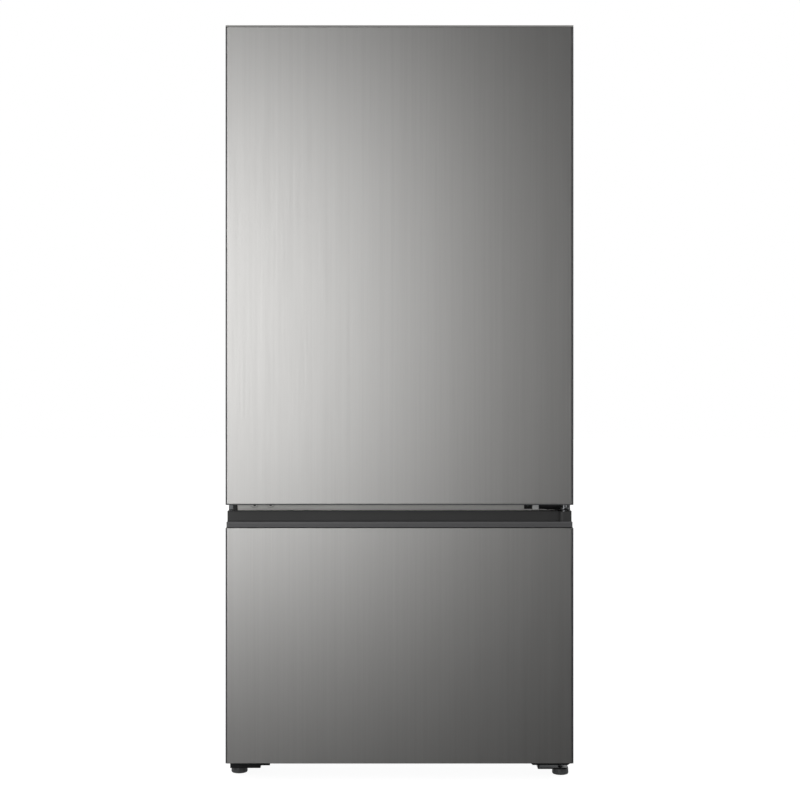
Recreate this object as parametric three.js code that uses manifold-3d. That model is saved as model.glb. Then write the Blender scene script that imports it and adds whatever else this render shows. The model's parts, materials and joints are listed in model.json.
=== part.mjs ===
// A bottom freezer refrigerator with two swing doors, both hinged on the right, in millimetres.
// +X is the viewer's right, +Y runs from the door faces to the back and +Z is up. The origin is on the
// floor, under the middle of the cabinet. Each door, drawer, fan, foot and roller is a separate body, and
// everything is drawn closed and at rest.

import * as THREE from 'three';
import { mergeVertices } from 'three/addons/utils/BufferGeometryUtils.js';
import Module from 'manifold-3d';

const wasm = await Module();
wasm.setup();

// ------------------------------------------------------------------ driving dimensions

const WIDTH = 790;
const HEIGHT = 1725;
const DEPTH = 700;

const SEAT_GAP = 0.3; // between pieces that seat on each other
const SHEET = 1; // case, base and door skin steel
const WALL = 2; // moulded liners
const FLOOR_CLEARANCE = 44; // floor to the lower door and to the case

// Doors
const DOOR_DEPTH = 58;
const GASKET_DEPTH = 12;
const GASKET_WIDTH = 15;
const GASKET_STRIP = 3; // thickness of the gasket's base strip
const FREEZER_SKIN_HEIGHT = 535;
const GRIP_HEIGHT = 36; // grip profile on top of the freezer door's skin
const DOOR_GAP = 16; // between the two doors
const DOOR_CORNER = 4; // bend radius of the skin's front edges
const END_CAP = 20;
const POCKET_CAP = 32; // fridge door's bottom cap, which holds the finger pocket
const LINER_PLATE = 2; // back plate of a door's inner panel

// Hinges
const HINGE_INSET_SIDE = 18; // cabinet side to the hinge axis
const HINGE_INSET_FRONT = 30; // door face to the hinge axis
const HINGE_PLATE = 3;
const HINGE_EDGE = 4; // cabinet side to the outer edge of a hinge arm
const PIN_RADIUS = 5;
const PIN_REACH = 14; // how far a pin enters a door
const PIN_CLEARANCE = 0.4;
const COVER_WALL = 1.4; // plastic cover over the top hinge

// Cabinet
const CASE_TOP_DROP = 8; // case top under the doors' top
const FLANGE_WIDTH = 38; // steel face round the openings, where the gaskets seal
const RAIL_HEIGHT = 50;
const RAIL_DEPTH = 12;
const RAIL_INSET = 20; // cabinet side to the end of the cross rail
const FRIDGE_LIP = 11; // liner's edge between the steel face and the fridge's opening
const CEILING_LIP = 14;
const MIDDLE_LIP = 12; // above and below the cross rail
const FREEZER_LIP = 17;
const FREEZER_FLOOR_LIP = 18;
const BACK_WALL = 60;
const STEP_WALL = 55; // insulation round the machine compartment

// Fridge interior
const SHELF_THICKNESS = 14;
const GLASS_THICKNESS = 4;
const HIGH_SHELF_DROP = 274; // fridge ceiling to the high shelf
const SHELF_SETBACK = 6; // drawers' faces to the shelves' front edge
const SHELF_SIDE_GAP = 2;
const SHELF_RIM = 14; // frame round the glass, seen from above
const SHELF_TRIM = 26; // wider frame along the front edge
const GLASS_SEAT = 5; // how far the glass lies on the frame
const LEDGE_HEIGHT = 10;
const FRIDGE_LEDGE = 6; // how far a ledge stands out of the wall
const AIR_DUCT = { half: 88, depth: 26, low: 190, drop: 100, gap: 7.7, outlets: 5 }; // gap to the shelves

// Drawers
const DRAWER_WALL = 2.5;
const DRAWER_FRONT = 12;
const DRAWER_RIM = 8; // rim's height
const BIN_TO_DRAWER = 17.7; // closed door's bins to the drawers' faces
const CRISPER_SIDE_GAP = 11; // liner wall to a crisper
const CRISPER_MIDDLE_GAP = 10;
const CRISPER_HEIGHT = 165;
const CRISPER_HEADROOM = 13;
const CRISPER_BACK_GAP = 12; // crisper's back to the shelves' back edge
const CHILL_DRAWER_HEIGHT = 82;
const CHILL_FLOOR_GAP = 9; // crisper cover to the chill drawer
const CHILL_RAIL_DROP = 28; // hook rails under the low shelf
const HOOK = 3; // thickness of the hook rails
const HOOK_TOE = 12;
const DYKE_TO_DRAWER = 45; // freezer door's inner panel to the drawers' faces
const FREEZER_DRAWER_SIDE_GAP = 20;
const FREEZER_RIM_WIDTH = 12;
const FREEZER_LEDGE = 27;
const FREEZER_DRAWER_BACK_GAP = 20;
const BOTTOM_DRAWER_BACK_GAP = 10;
const DRAWER_STEP_GAP = 7; // machine step to the middle drawer
const BOTTOM_DRAWER_HEADROOM = 26;
const TOP_DRAWER_HEADROOM = 12;
const FREEZER_DRAWER_GAP = 10; // between the two upper drawers

// Door interiors
const DYKE_WIDTH = 28; // raised rib round a door's inner panel
const FRIDGE_DYKE_GAP = 14; // liner wall to the rib
const FREEZER_DYKE_GAP = 8;
const DYKE_END_GAP = 12; // rib to the compartment's floor or ceiling
const FRIDGE_DYKE_HEIGHT = 34;
const FREEZER_DYKE_HEIGHT = 20;
const BIN_DEPTH = 98;
const BIN_WALL = 2.5;
const BIN_CORNER = 12;
const BIN_LUG = 6;
const HIGH_BIN = { drop: 260, height: 90 }; // drop is from the fridge ceiling to the bin's floor
const MIDDLE_BIN_HEIGHT = 100;
const LOW_BIN = { rise: 40, height: 140 }; // rise is from the fridge floor
const LID_THICKNESS = 2.5;
const LID_PIVOT_RADIUS = 3.2;
const LID_PIVOT_RISE = 6; // above the bin
const LID_PIVOT_SETBACK = 12; // from the inner panel

// Machine compartment and cooling
const TRAY_SHEET = 2;
const TRAY_FLANGE = 36;
const COMPRESSOR_RADIUS = 76;
const COMPRESSOR_RATIO = 1.2; // an oval shell, wider than it is deep
const COMPRESSOR_HEIGHT = 150;
const COMPRESSOR_INSET = 225; // cabinet side to the compressor's middle
const COMPRESSOR_CLEARANCE = 24; // to the front and back of the machine compartment
const PROCESS_TUBE_RISE = 8; // charging tube above the shell
const MOUNT_HEIGHT = 12; // rubber mounts under the compressor
const MOUNT_RADIUS = 9;
const DRIP_TRAY_HEIGHT = 26;
const MACHINE_HEADROOM = 7.4; // over the drip tray
const CONDENSER_DEPTH = 150;
const CONDENSER_HEIGHT = 175;
const CONDENSER_SIDE_GAP = 30;
const CONDENSER_FIN_PITCH = 18;
const CONDENSER_FAN_RADIUS = 68;
const CONDENSER_FAN_GAP = 140; // fan to the condenser, which fills what is left of the width
const FAN_STAND_GAP = 35; // compressor's terminal box to the fan's stand
const CONDENSER_FAN_RISE = 16; // tray to the fan's blades
const EVAPORATOR = { width: 480, depth: 52, height: 130 };
const EVAPORATOR_GAP = 21.7; // duct cover to the evaporator
const EVAPORATOR_FIN_PITCH = 24;
const EVAPORATOR_FAN_RADIUS = 50;
const FIN_THICKNESS = 2;
const TUBE_RADIUS = 4;
const DUCT_COVER = 8;
const FAN_SHAFT_RADIUS = 3;
const FAN_SHAFT_LENGTH = 12;
const FAN_FACE_GAP = 4; // motor face to the hub
const FAN_CHORD = 0.62; // width of a blade over the fan's radius

// Feet and rollers
const FOOT_RADIUS = 19;
const FOOT_HEIGHT = 15;
const FOOT_INSET = 21; // cabinet side to a foot's axis
const FOOT_STEM_RADIUS = 5;
const FOOT_SETBACK_LEFT = 106; // door face to the left foot's axis
const FOOT_SETBACK_RIGHT = 90;
const BRACKET_SHEET = 3;
const BRACKET_SIDE = 3; // cabinet side to a bracket's end
const ROLLER_CLEARANCE = 4; // roller to the tray above it
const ROLLER_WIDTH = 18;
const ROLLER_AXLE_RADIUS = 4;
const ROLLER_INSET = 55; // cabinet side to a roller's middle
const ROLLER_SETBACK = 50; // cabinet back to the rollers' axles

// ------------------------------------------------------------------ places worked out from them

const SIDE = WIDTH / 2;
const FRONT = -DEPTH / 2;
const BACK = DEPTH / 2;
const CASE_FRONT = FRONT + DOOR_DEPTH + GASKET_DEPTH;
const GRIP_BOTTOM = FLOOR_CLEARANCE + FREEZER_SKIN_HEIGHT;
const FREEZER_DOOR_TOP = GRIP_BOTTOM + GRIP_HEIGHT;
const FRIDGE_DOOR_BOTTOM = FREEZER_DOOR_TOP + DOOR_GAP;
const DOOR_TOP = HEIGHT - COVER_WALL - HINGE_PLATE - SEAT_GAP * 2;
const GAP_MIDDLE = (FREEZER_DOOR_TOP + FRIDGE_DOOR_BOTTOM) / 2;
const CASE_TOP = DOOR_TOP - CASE_TOP_DROP;
const CASE_INNER = SIDE - SHEET;

const RAIL = [GAP_MIDDLE - RAIL_HEIGHT / 2, GAP_MIDDLE + RAIL_HEIGHT / 2];
const FLANGE_EDGE = SIDE - FLANGE_WIDTH;
const BASE_RAIL_TOP = FLOOR_CLEARANCE + FLANGE_WIDTH;

const INNER_BACK = BACK - BACK_WALL;
const FRIDGE_HALF = FLANGE_EDGE - FRIDGE_LIP;
const FREEZER_HALF = FLANGE_EDGE - FREEZER_LIP;
const FRIDGE_FLOOR = RAIL[1] + MIDDLE_LIP;
const FRIDGE_CEILING = CASE_TOP - FLANGE_WIDTH - CEILING_LIP;
const FREEZER_FLOOR = BASE_RAIL_TOP + FREEZER_FLOOR_LIP;
const FREEZER_CEILING = RAIL[0] - MIDDLE_LIP;

const TRAY_TOP = FLOOR_CLEARANCE + TRAY_SHEET;
const COMPRESSOR_BASE = TRAY_TOP + MOUNT_HEIGHT + SEAT_GAP;
const DRIP_TRAY_FLOOR = COMPRESSOR_BASE + COMPRESSOR_HEIGHT + PROCESS_TUBE_RISE + SEAT_GAP;
const MACHINE_FRONT = BACK - (COMPRESSOR_RADIUS + COMPRESSOR_CLEARANCE) * 2;
const MACHINE_MIDDLE = (MACHINE_FRONT + BACK) / 2;
const MACHINE_TOP = DRIP_TRAY_FLOOR + DRIP_TRAY_HEIGHT + MACHINE_HEADROOM;
const STEP_FRONT = MACHINE_FRONT - STEP_WALL;
const STEP_TOP = MACHINE_TOP + STEP_WALL;

const HINGE = [SIDE - HINGE_INSET_SIDE, FRONT + HINGE_INSET_FRONT];
const PIN_HOLE = PIN_RADIUS + PIN_CLEARANCE;
const ARM_HALF = HINGE_INSET_SIDE - HINGE_EDGE; // half width of a hinge arm round its pin
const DRAWER_FACE = FRONT + DOOR_DEPTH + SEAT_GAP + BIN_DEPTH + BIN_TO_DRAWER;
const SHELF_FRONT = DRAWER_FACE + SHELF_SETBACK;
const SHELF_DEPTH = INNER_BACK - SEAT_GAP - AIR_DUCT.depth - AIR_DUCT.gap - SHELF_FRONT;
const SHELF_HALF = FRIDGE_HALF - SHELF_SIDE_GAP;
const CRISPER_DEPTH = SHELF_FRONT + SHELF_DEPTH - CRISPER_BACK_GAP - DRAWER_FACE;
const FREEZER_FACE = FRONT + DOOR_DEPTH + FREEZER_DYKE_HEIGHT + DYKE_TO_DRAWER;
const FREEZER_DRAWER_HALF = FREEZER_HALF - FREEZER_DRAWER_SIDE_GAP;
const DUCT_FACE = INNER_BACK - SEAT_GAP - EVAPORATOR.depth - EVAPORATOR_GAP - DUCT_COVER;
const FREEZER_DRAWER_DEPTH = DUCT_FACE - FREEZER_DRAWER_BACK_GAP - FREEZER_FACE;

// Heights of the shelves above the fridge floor
const CRISPER_COVER_RISE = CRISPER_HEIGHT + CRISPER_HEADROOM;
const CHILL_FLOOR_RISE = CRISPER_COVER_RISE + SHELF_THICKNESS + CHILL_FLOOR_GAP;
const CHILL_RIM_RISE = CHILL_FLOOR_RISE + CHILL_DRAWER_HEIGHT - DRAWER_RIM;
const LOW_SHELF_RISE = CHILL_RIM_RISE + CHILL_RAIL_DROP - HOOK - SEAT_GAP;
const HIGH_SHELF_RISE = FRIDGE_CEILING - FRIDGE_FLOOR - HIGH_SHELF_DROP;
const SHELF_RISES = {
  shelf_high: HIGH_SHELF_RISE,
  shelf_middle: (HIGH_SHELF_RISE + LOW_SHELF_RISE) / 2,
  shelf_low: LOW_SHELF_RISE,
};

// Freezer drawers, each from its floor up: the two upper ones share the space over the machine step
const MIDDLE_DRAWER_FLOOR = STEP_TOP + DRAWER_STEP_GAP;
const UPPER_DRAWER_SPACE = FREEZER_CEILING - TOP_DRAWER_HEADROOM - FREEZER_DRAWER_GAP - MIDDLE_DRAWER_FLOOR;
const UPPER_DRAWER_HEIGHT = UPPER_DRAWER_SPACE / 2;
const FREEZER_DRAWERS = {
  freezer_drawer_bottom: {
    floor: FREEZER_FLOOR,
    height: MIDDLE_DRAWER_FLOOR - BOTTOM_DRAWER_HEADROOM - FREEZER_FLOOR,
    depth: STEP_FRONT - BOTTOM_DRAWER_BACK_GAP - FREEZER_FACE,
  },
  freezer_drawer_middle: {
    floor: MIDDLE_DRAWER_FLOOR,
    height: UPPER_DRAWER_HEIGHT,
    depth: FREEZER_DRAWER_DEPTH,
  },
  freezer_drawer_top: {
    floor: MIDDLE_DRAWER_FLOOR + UPPER_DRAWER_HEIGHT + FREEZER_DRAWER_GAP,
    height: UPPER_DRAWER_HEIGHT,
    depth: FREEZER_DRAWER_DEPTH,
  },
};

// Door bins, each from its floor above the fridge floor: the middle one hangs halfway between the others
const HIGH_BIN_RISE = FRIDGE_CEILING - FRIDGE_FLOOR - HIGH_BIN.drop;
const MIDDLE_BIN_RISE = (LOW_BIN.rise + LOW_BIN.height + HIGH_BIN_RISE - MIDDLE_BIN_HEIGHT) / 2;
const BINS = {
  door_bin_high: { rise: HIGH_BIN_RISE, height: HIGH_BIN.height },
  door_bin_middle: { rise: MIDDLE_BIN_RISE, height: MIDDLE_BIN_HEIGHT },
  door_bin_low: LOW_BIN,
};

const FOIL = 1; // how far a cutting tool runs past the face that it cuts

// ------------------------------------------------------------------ solids

/** A closed three.js geometry as a solid that can be joined and cut. */
function solid(geometry) {
  geometry.deleteAttribute('normal');
  geometry.deleteAttribute('uv');
  const merged = mergeVertices(geometry, 1e-4);
  const corners = merged.index.array;
  const kept = [];
  for (let i = 0; i < corners.length; i += 3) {
    const [a, b, c] = [corners[i], corners[i + 1], corners[i + 2]];
    if (a !== b && b !== c && c !== a) kept.push(a, b, c);
  }
  return new wasm.Manifold(new wasm.Mesh({
    numProp: 3,
    vertProperties: new Float32Array(merged.attributes.position.array),
    triVerts: new Uint32Array(kept),
  }));
}

function block([x0, x1], [y0, y1], [z0, z1]) {
  const geometry = new THREE.BoxGeometry(x1 - x0, y1 - y0, z1 - z0);
  geometry.translate((x0 + x1) / 2, (y0 + y1) / 2, (z0 + z1) / 2);
  return solid(geometry);
}

/** A round bar along an axis. Its place is given in the other two coordinates, in X, Y, Z order. */
function rod(axis, radius, [u, v], [from, to], sides = 24) {
  const geometry = new THREE.CylinderGeometry(radius, radius, to - from, sides);
  const middle = (from + to) / 2;
  if (axis === 'x') geometry.rotateZ(-Math.PI / 2).translate(middle, u, v);
  if (axis === 'y') geometry.translate(u, middle, v);
  if (axis === 'z') geometry.rotateX(Math.PI / 2).translate(u, v, middle);
  return solid(geometry);
}

/** A flat outline carried along an axis. Its points are in the other two coordinates, in X, Y, Z order. */
function prism(axis, outline, [from, to]) {
  const shape = new THREE.Shape(outline.map(([u, v]) => new THREE.Vector2(u, v)));
  const geometry = new THREE.ExtrudeGeometry(shape, { depth: to - from, bevelEnabled: false });
  if (axis === 'z') geometry.translate(0, 0, from);
  if (axis === 'y') geometry.translate(0, 0, -to).rotateX(Math.PI / 2);
  if (axis === 'x') {
    const turn = new THREE.Matrix4().makeBasis(
      new THREE.Vector3(0, 1, 0),
      new THREE.Vector3(0, 0, 1),
      new THREE.Vector3(1, 0, 0),
    );
    geometry.translate(0, 0, from).applyMatrix4(turn);
  }
  return solid(geometry);
}

/** A turned body that stands along Z, from a profile of [radius, height] with both ends on its axis. */
function turned(profile, sides = 32) {
  const points = profile.map(([radius, height]) => new THREE.Vector2(radius, height));
  return solid(new THREE.LatheGeometry(points, sides).rotateX(Math.PI / 2));
}

/** A rectangle's outline, anticlockwise, with a radius for each corner from the lower left one round. */
function rectangle([u0, u1], [v0, v1], radii = [0, 0, 0, 0], steps = 4) {
  const corners = [[u0, v0, 1, 1], [u1, v0, -1, 1], [u1, v1, -1, -1], [u0, v1, 1, -1]];
  return corners.flatMap(([u, v, inU, inV], corner) => {
    const radius = radii[corner];
    if (!radius) return [[u, v]];
    const middle = [u + inU * radius, v + inV * radius];
    return Array.from({ length: steps + 1 }, (_, step) => {
      const angle = Math.PI + (corner + step / steps) * (Math.PI / 2);
      return [middle[0] + radius * Math.cos(angle), middle[1] + radius * Math.sin(angle)];
    });
  });
}

function join(...solids) {
  return solids.reduce((all, next) => all.add(next));
}

function cut(body, ...tools) {
  return tools.reduce((rest, tool) => rest.subtract(tool), body);
}

/** A flat ring in X and Z, between an outer and an inner rectangle. */
function frameRing(outer, inner, depth) {
  return cut(
    block(outer.x, depth, outer.z),
    block(inner.x, [depth[0] - FOIL, depth[1] + FOIL], inner.z),
  );
}

function grown([low, high], by) {
  return [low - by, high + by];
}

function both(half) {
  return [-half, half];
}

function piece(name, shape, material, place = [0, 0, 0]) {
  const { vertProperties, triVerts } = shape.getMesh();
  const geometry = new THREE.BufferGeometry();
  geometry.setAttribute('position', new THREE.BufferAttribute(vertProperties, 3));
  geometry.setIndex(new THREE.BufferAttribute(triVerts, 1));
  geometry.computeVertexNormals();
  const mesh = new THREE.Mesh(geometry, material);
  mesh.name = name;
  mesh.position.set(...place);
  return mesh;
}

function group(place, ...children) {
  const made = new THREE.Group();
  made.position.set(...place);
  made.add(...children);
  return made;
}

// ------------------------------------------------------------------ materials

function finish(name, color, roughness, metalness = 0) {
  return new THREE.MeshStandardMaterial({ name, color, roughness, metalness });
}

const brushedSteel = finish('brushed_steel', 0xb4b3b0, 0.35, 1);
const casePaint = finish('case_paint', 0x55565a, 0.5);
const railPaint = finish('rail_paint', 0x9b9a97, 0.4, 0.6);
const blackPaint = finish('black_paint', 0x1f2021, 0.5);
const zincSteel = finish('zinc_steel', 0x9ea1a4, 0.4, 1);
const darkPlastic = finish('dark_plastic', 0x3a3a39, 0.45);
const blackPlastic = finish('black_plastic', 0x1b1c1d, 0.5);
const whitePlastic = finish('white_plastic', 0xeceeee, 0.4);
const greyPlastic = finish('grey_plastic', 0xb9bcbe, 0.4);
const clearPlastic = finish('clear_plastic', 0xd8e4e8, 0.15);
const safetyGlass = finish('safety_glass', 0xcfe0dc, 0.05);
const sealRubber = finish('seal_rubber', 0x54565a, 0.7);
const foam = finish('foam', 0xd9c48a, 0.9);
const compressorPaint = finish('compressor_paint', 0x17181a, 0.35);
const finAluminium = finish('fin_aluminium', 0xb9bcc0, 0.4, 1);
const rollerPlastic = finish('roller_plastic', 0x8b8e90, 0.5);

// ------------------------------------------------------------------ cabinet

/** Folded steel wrapper: two sides and a top, with a front face turned in round the openings. */
function outerCase() {
  const height = [FLOOR_CLEARANCE, CASE_TOP];
  const wrapper = cut(
    block(both(SIDE), [CASE_FRONT, BACK], height),
    block(both(CASE_INNER), [CASE_FRONT + SHEET, BACK + FOIL], [FLOOR_CLEARANCE - FOIL, CASE_TOP - SHEET]),
    block(both(FLANGE_EDGE), grown([CASE_FRONT, CASE_FRONT + SHEET], FOIL),
      [FLOOR_CLEARANCE - FOIL, CASE_TOP - FLANGE_WIDTH]),
  );
  const railNotch = block(
    both(SIDE - RAIL_INSET + SEAT_GAP),
    grown([CASE_FRONT, CASE_FRONT + SHEET], FOIL),
    grown(RAIL, SEAT_GAP),
  );
  return cut(wrapper, railNotch);
}

/** Steel deck under the freezer. It rises at the back to make the machine compartment's walls. */
function basePlate() {
  const half = CASE_INNER - SEAT_GAP;
  const rear = BACK - SHEET - SEAT_GAP;
  const deckFront = CASE_FRONT + SHEET + SEAT_GAP;
  const fold = [
    [deckFront, FLOOR_CLEARANCE],
    [MACHINE_FRONT, FLOOR_CLEARANCE],
    [MACHINE_FRONT, MACHINE_TOP],
    [rear, MACHINE_TOP],
    [rear, MACHINE_TOP + SHEET],
    [MACHINE_FRONT - SHEET, MACHINE_TOP + SHEET],
    [MACHINE_FRONT - SHEET, FLOOR_CLEARANCE + SHEET],
    [deckFront, FLOOR_CLEARANCE + SHEET],
  ];
  const lip = rectangle([CASE_FRONT, CASE_FRONT + SHEET], [FLOOR_CLEARANCE, BASE_RAIL_TOP]);
  const tongue = rectangle([CASE_FRONT, deckFront + SHEET], [FLOOR_CLEARANCE, FLOOR_CLEARANCE + SHEET]);
  const lipHalf = both(FLANGE_EDGE - SEAT_GAP);
  return join(prism('x', fold, both(half)), prism('x', lip, lipHalf), prism('x', tongue, lipHalf));
}

function rearPanel() {
  const height = [MACHINE_TOP, CASE_TOP - SHEET - SEAT_GAP];
  return block(both(CASE_INNER - SEAT_GAP), [BACK - SHEET, BACK], height);
}

/** Side outline of the freezer compartment, in Y and Z, grown by a margin, with its step over the machine. */
function freezerOutline(margin) {
  return [
    [CASE_FRONT, FREEZER_FLOOR - margin],
    [STEP_FRONT + margin, FREEZER_FLOOR - margin],
    [STEP_FRONT + margin, STEP_TOP - margin],
    [INNER_BACK + margin, STEP_TOP - margin],
    [INNER_BACK + margin, FREEZER_CEILING + margin],
    [CASE_FRONT, FREEZER_CEILING + margin],
  ];
}

function fridgeSpace(margin) {
  return block(
    both(FRIDGE_HALF + margin),
    [CASE_FRONT, INNER_BACK + margin],
    grown([FRIDGE_FLOOR, FRIDGE_CEILING], margin),
  );
}

function freezerSpace(margin) {
  return prism('x', freezerOutline(margin), both(FREEZER_HALF + margin));
}

/** Open front of a compartment, a little proud of the cabinet's face. */
function mouth(half, height) {
  return block(both(half), [CASE_FRONT - FOIL, CASE_FRONT + FOIL], height);
}

function foamBody() {
  const front = CASE_FRONT + WALL + SEAT_GAP;
  const body = block(
    both(CASE_INNER - SEAT_GAP),
    [front, BACK - SHEET - SEAT_GAP],
    [FLOOR_CLEARANCE + SHEET + SEAT_GAP, CASE_TOP - SHEET - SEAT_GAP],
  );
  const machine = block(
    both(SIDE),
    [MACHINE_FRONT - SHEET - SEAT_GAP, BACK + FOIL],
    [0, MACHINE_TOP + SHEET + SEAT_GAP],
  );
  const rail = block(both(SIDE - RAIL_INSET + SEAT_GAP), [CASE_FRONT, CASE_FRONT + RAIL_DEPTH + SEAT_GAP],
    grown(RAIL, SEAT_GAP));
  return cut(body, machine, rail, fridgeSpace(WALL + SEAT_GAP), freezerSpace(WALL + SEAT_GAP));
}

function mullionRail() {
  const span = both(SIDE - RAIL_INSET);
  const [low, high] = RAIL;
  const channel = [
    [CASE_FRONT, low],
    [CASE_FRONT + RAIL_DEPTH, low],
    [CASE_FRONT + RAIL_DEPTH, low + SHEET],
    [CASE_FRONT + SHEET, low + SHEET],
    [CASE_FRONT + SHEET, high - SHEET],
    [CASE_FRONT + RAIL_DEPTH, high - SHEET],
    [CASE_FRONT + RAIL_DEPTH, high],
    [CASE_FRONT, high],
  ];
  return prism('x', channel, span);
}

/** Pair of ledges moulded in the side walls, just under a thing that rests at the given height. */
function ledgePair(half, reach, depth, rest) {
  const height = [rest - SEAT_GAP - LEDGE_HEIGHT, rest - SEAT_GAP];
  return [-1, 1].map((side) => {
    const span = side < 0 ? [-half - FOIL, reach - half] : [half - reach, half + FOIL];
    return block(span, depth, height);
  });
}

function fridgeLiner() {
  const plate = [CASE_FRONT, CASE_FRONT + WALL];
  const edge = both(FLANGE_EDGE - SEAT_GAP);
  const flange = block(edge, plate, [RAIL[1] + SEAT_GAP, CASE_TOP - FLANGE_WIDTH - SEAT_GAP]);
  const shell = cut(
    join(fridgeSpace(WALL), flange),
    fridgeSpace(0),
    mouth(FRIDGE_HALF, [FRIDGE_FLOOR, FRIDGE_CEILING]),
  );
  const depth = [SHELF_FRONT, SHELF_FRONT + SHELF_DEPTH];
  const rests = [...Object.values(SHELF_RISES), CRISPER_COVER_RISE].map((rise) => FRIDGE_FLOOR + rise);
  return join(shell, ...rests.flatMap((rest) => ledgePair(FRIDGE_HALF, FRIDGE_LEDGE, depth, rest)));
}

function rimUnderside({ floor, height }) {
  return floor + SEAT_GAP + height - DRAWER_RIM;
}

function freezerLiner() {
  const plate = [CASE_FRONT, CASE_FRONT + WALL];
  const edge = both(FLANGE_EDGE - SEAT_GAP);
  const flange = block(edge, plate, [BASE_RAIL_TOP + SEAT_GAP, RAIL[0] - SEAT_GAP]);
  const shell = cut(
    join(freezerSpace(WALL), flange),
    freezerSpace(0),
    mouth(FREEZER_HALF, [FREEZER_FLOOR, FREEZER_CEILING]),
  );
  const depth = [FREEZER_FACE + DRAWER_FRONT, FREEZER_FACE + FREEZER_DRAWER_DEPTH];
  const { freezer_drawer_middle: middle, freezer_drawer_top: top } = FREEZER_DRAWERS;
  const rests = [middle, top].map(rimUnderside);
  return join(shell, ...rests.flatMap((rest) => ledgePair(FREEZER_HALF, FREEZER_LEDGE, depth, rest)));
}

// ------------------------------------------------------------------ hinges, bracket, feet and rollers

/** Flat arm in X and Y from the cabinet out to the pin, with a round end. */
function hingeArm(inner, rear, height) {
  const steps = 8;
  const end = Array.from({ length: steps + 1 }, (_, step) => {
    const angle = Math.PI * (1 + step / steps);
    return [HINGE[0] + ARM_HALF * Math.cos(angle), HINGE[1] + ARM_HALF * Math.sin(angle)];
  });
  const outline = [...end, [HINGE[0] + ARM_HALF, rear], [inner, rear]];
  return prism('z', outline, height);
}

const MIDDLE_LEG = { reach: 89, end: 25, thickness: 3.5 }; // bolted face on the cross rail, from the hinge axis
const MIDDLE_LEG_GAP = 4; // how much lower than the door gap the leg is
const MIDDLE_ARM_REACH = 53;
const MIDDLE_ARM_DROP = 4; // arm's middle under the middle of the door gap

function middleHinge() {
  const middle = GAP_MIDDLE - MIDDLE_ARM_DROP;
  const arm = [middle - HINGE_PLATE / 2, middle + HINGE_PLATE / 2];
  const rear = CASE_FRONT - SEAT_GAP;
  const face = rear - MIDDLE_LEG.thickness;
  const across = [HINGE[0] - MIDDLE_LEG.reach, HINGE[0] - MIDDLE_LEG.end];
  const height = DOOR_GAP - MIDDLE_LEG_GAP;
  const boltReach = [face - HINGE_PLATE, rear - SHEET];
  const bolt = (x) => rod('y', height / 2 - 1, [x, arm[0] + height / 2], boltReach, 12);
  return join(
    block(across, [face, rear], [arm[0], arm[0] + height]),
    bolt(across[0] + height),
    bolt(across[1] - height),
    hingeArm(HINGE[0] - MIDDLE_ARM_REACH, rear, arm),
    rod('z', PIN_RADIUS, HINGE, [FREEZER_DOOR_TOP - PIN_REACH, FRIDGE_DOOR_BOTTOM + PIN_REACH]),
  );
}

const TOP_BASE = { reach: 59, depth: 90 }; // from the hinge axis, and from the cabinet front

function topHinge() {
  const arm = [DOOR_TOP + SEAT_GAP, DOOR_TOP + SEAT_GAP + HINGE_PLATE];
  const foot = [CASE_TOP + SEAT_GAP, CASE_TOP + SEAT_GAP + HINGE_PLATE];
  const riser = [CASE_FRONT + HINGE_PLATE * 3, CASE_FRONT + HINGE_PLATE * 4];
  const across = [HINGE[0] - TOP_BASE.reach, HINGE[0] + ARM_HALF];
  return join(
    block(across, [riser[0], CASE_FRONT + TOP_BASE.depth], foot),
    block(across, riser, [foot[0], arm[1]]),
    hingeArm(across[0] + ARM_HALF, riser[1], arm),
    rod('z', PIN_RADIUS, HINGE, [DOOR_TOP - PIN_REACH, arm[1]]),
  );
}

const COVER_MARGIN = 5; // cover round the hinge base

/** Plastic cover on the case top, open below and in front, where the hinge arm comes out. */
function topHingeCover() {
  const front = CASE_FRONT + COVER_WALL * 2;
  const across = [HINGE[0] - TOP_BASE.reach - COVER_MARGIN, SIDE - SHEET];
  const rear = CASE_FRONT + TOP_BASE.depth + COVER_MARGIN;
  const bottom = CASE_TOP + SEAT_GAP;
  return cut(
    block(across, [front, rear], [bottom, HEIGHT]),
    block(
      grown(across, -COVER_WALL),
      [front - FOIL, rear - COVER_WALL],
      [bottom - FOIL, HEIGHT - COVER_WALL],
    ),
  );
}

const BRACKET_TOP = FLOOR_CLEARANCE - SEAT_GAP;
// Reach and step are from the cabinet side, shelf and lip from the top of the foot's pad
const LEFT_BRACKET = { reach: 95, step: 73, shelf: 2.3, lip: 8.5, depth: 74 };
const RIGHT_BRACKET = { reach: 97, step: 75, shelf: 0.6, depth: 60 };
const FOOT_HOLE = FOOT_STEM_RADIUS + PIN_CLEARANCE;
const LEFT_FOOT = [-SIDE + FOOT_INSET, FRONT + FOOT_SETBACK_LEFT];
const RIGHT_FOOT = [SIDE - FOOT_INSET, FRONT + FOOT_SETBACK_RIGHT];

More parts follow.
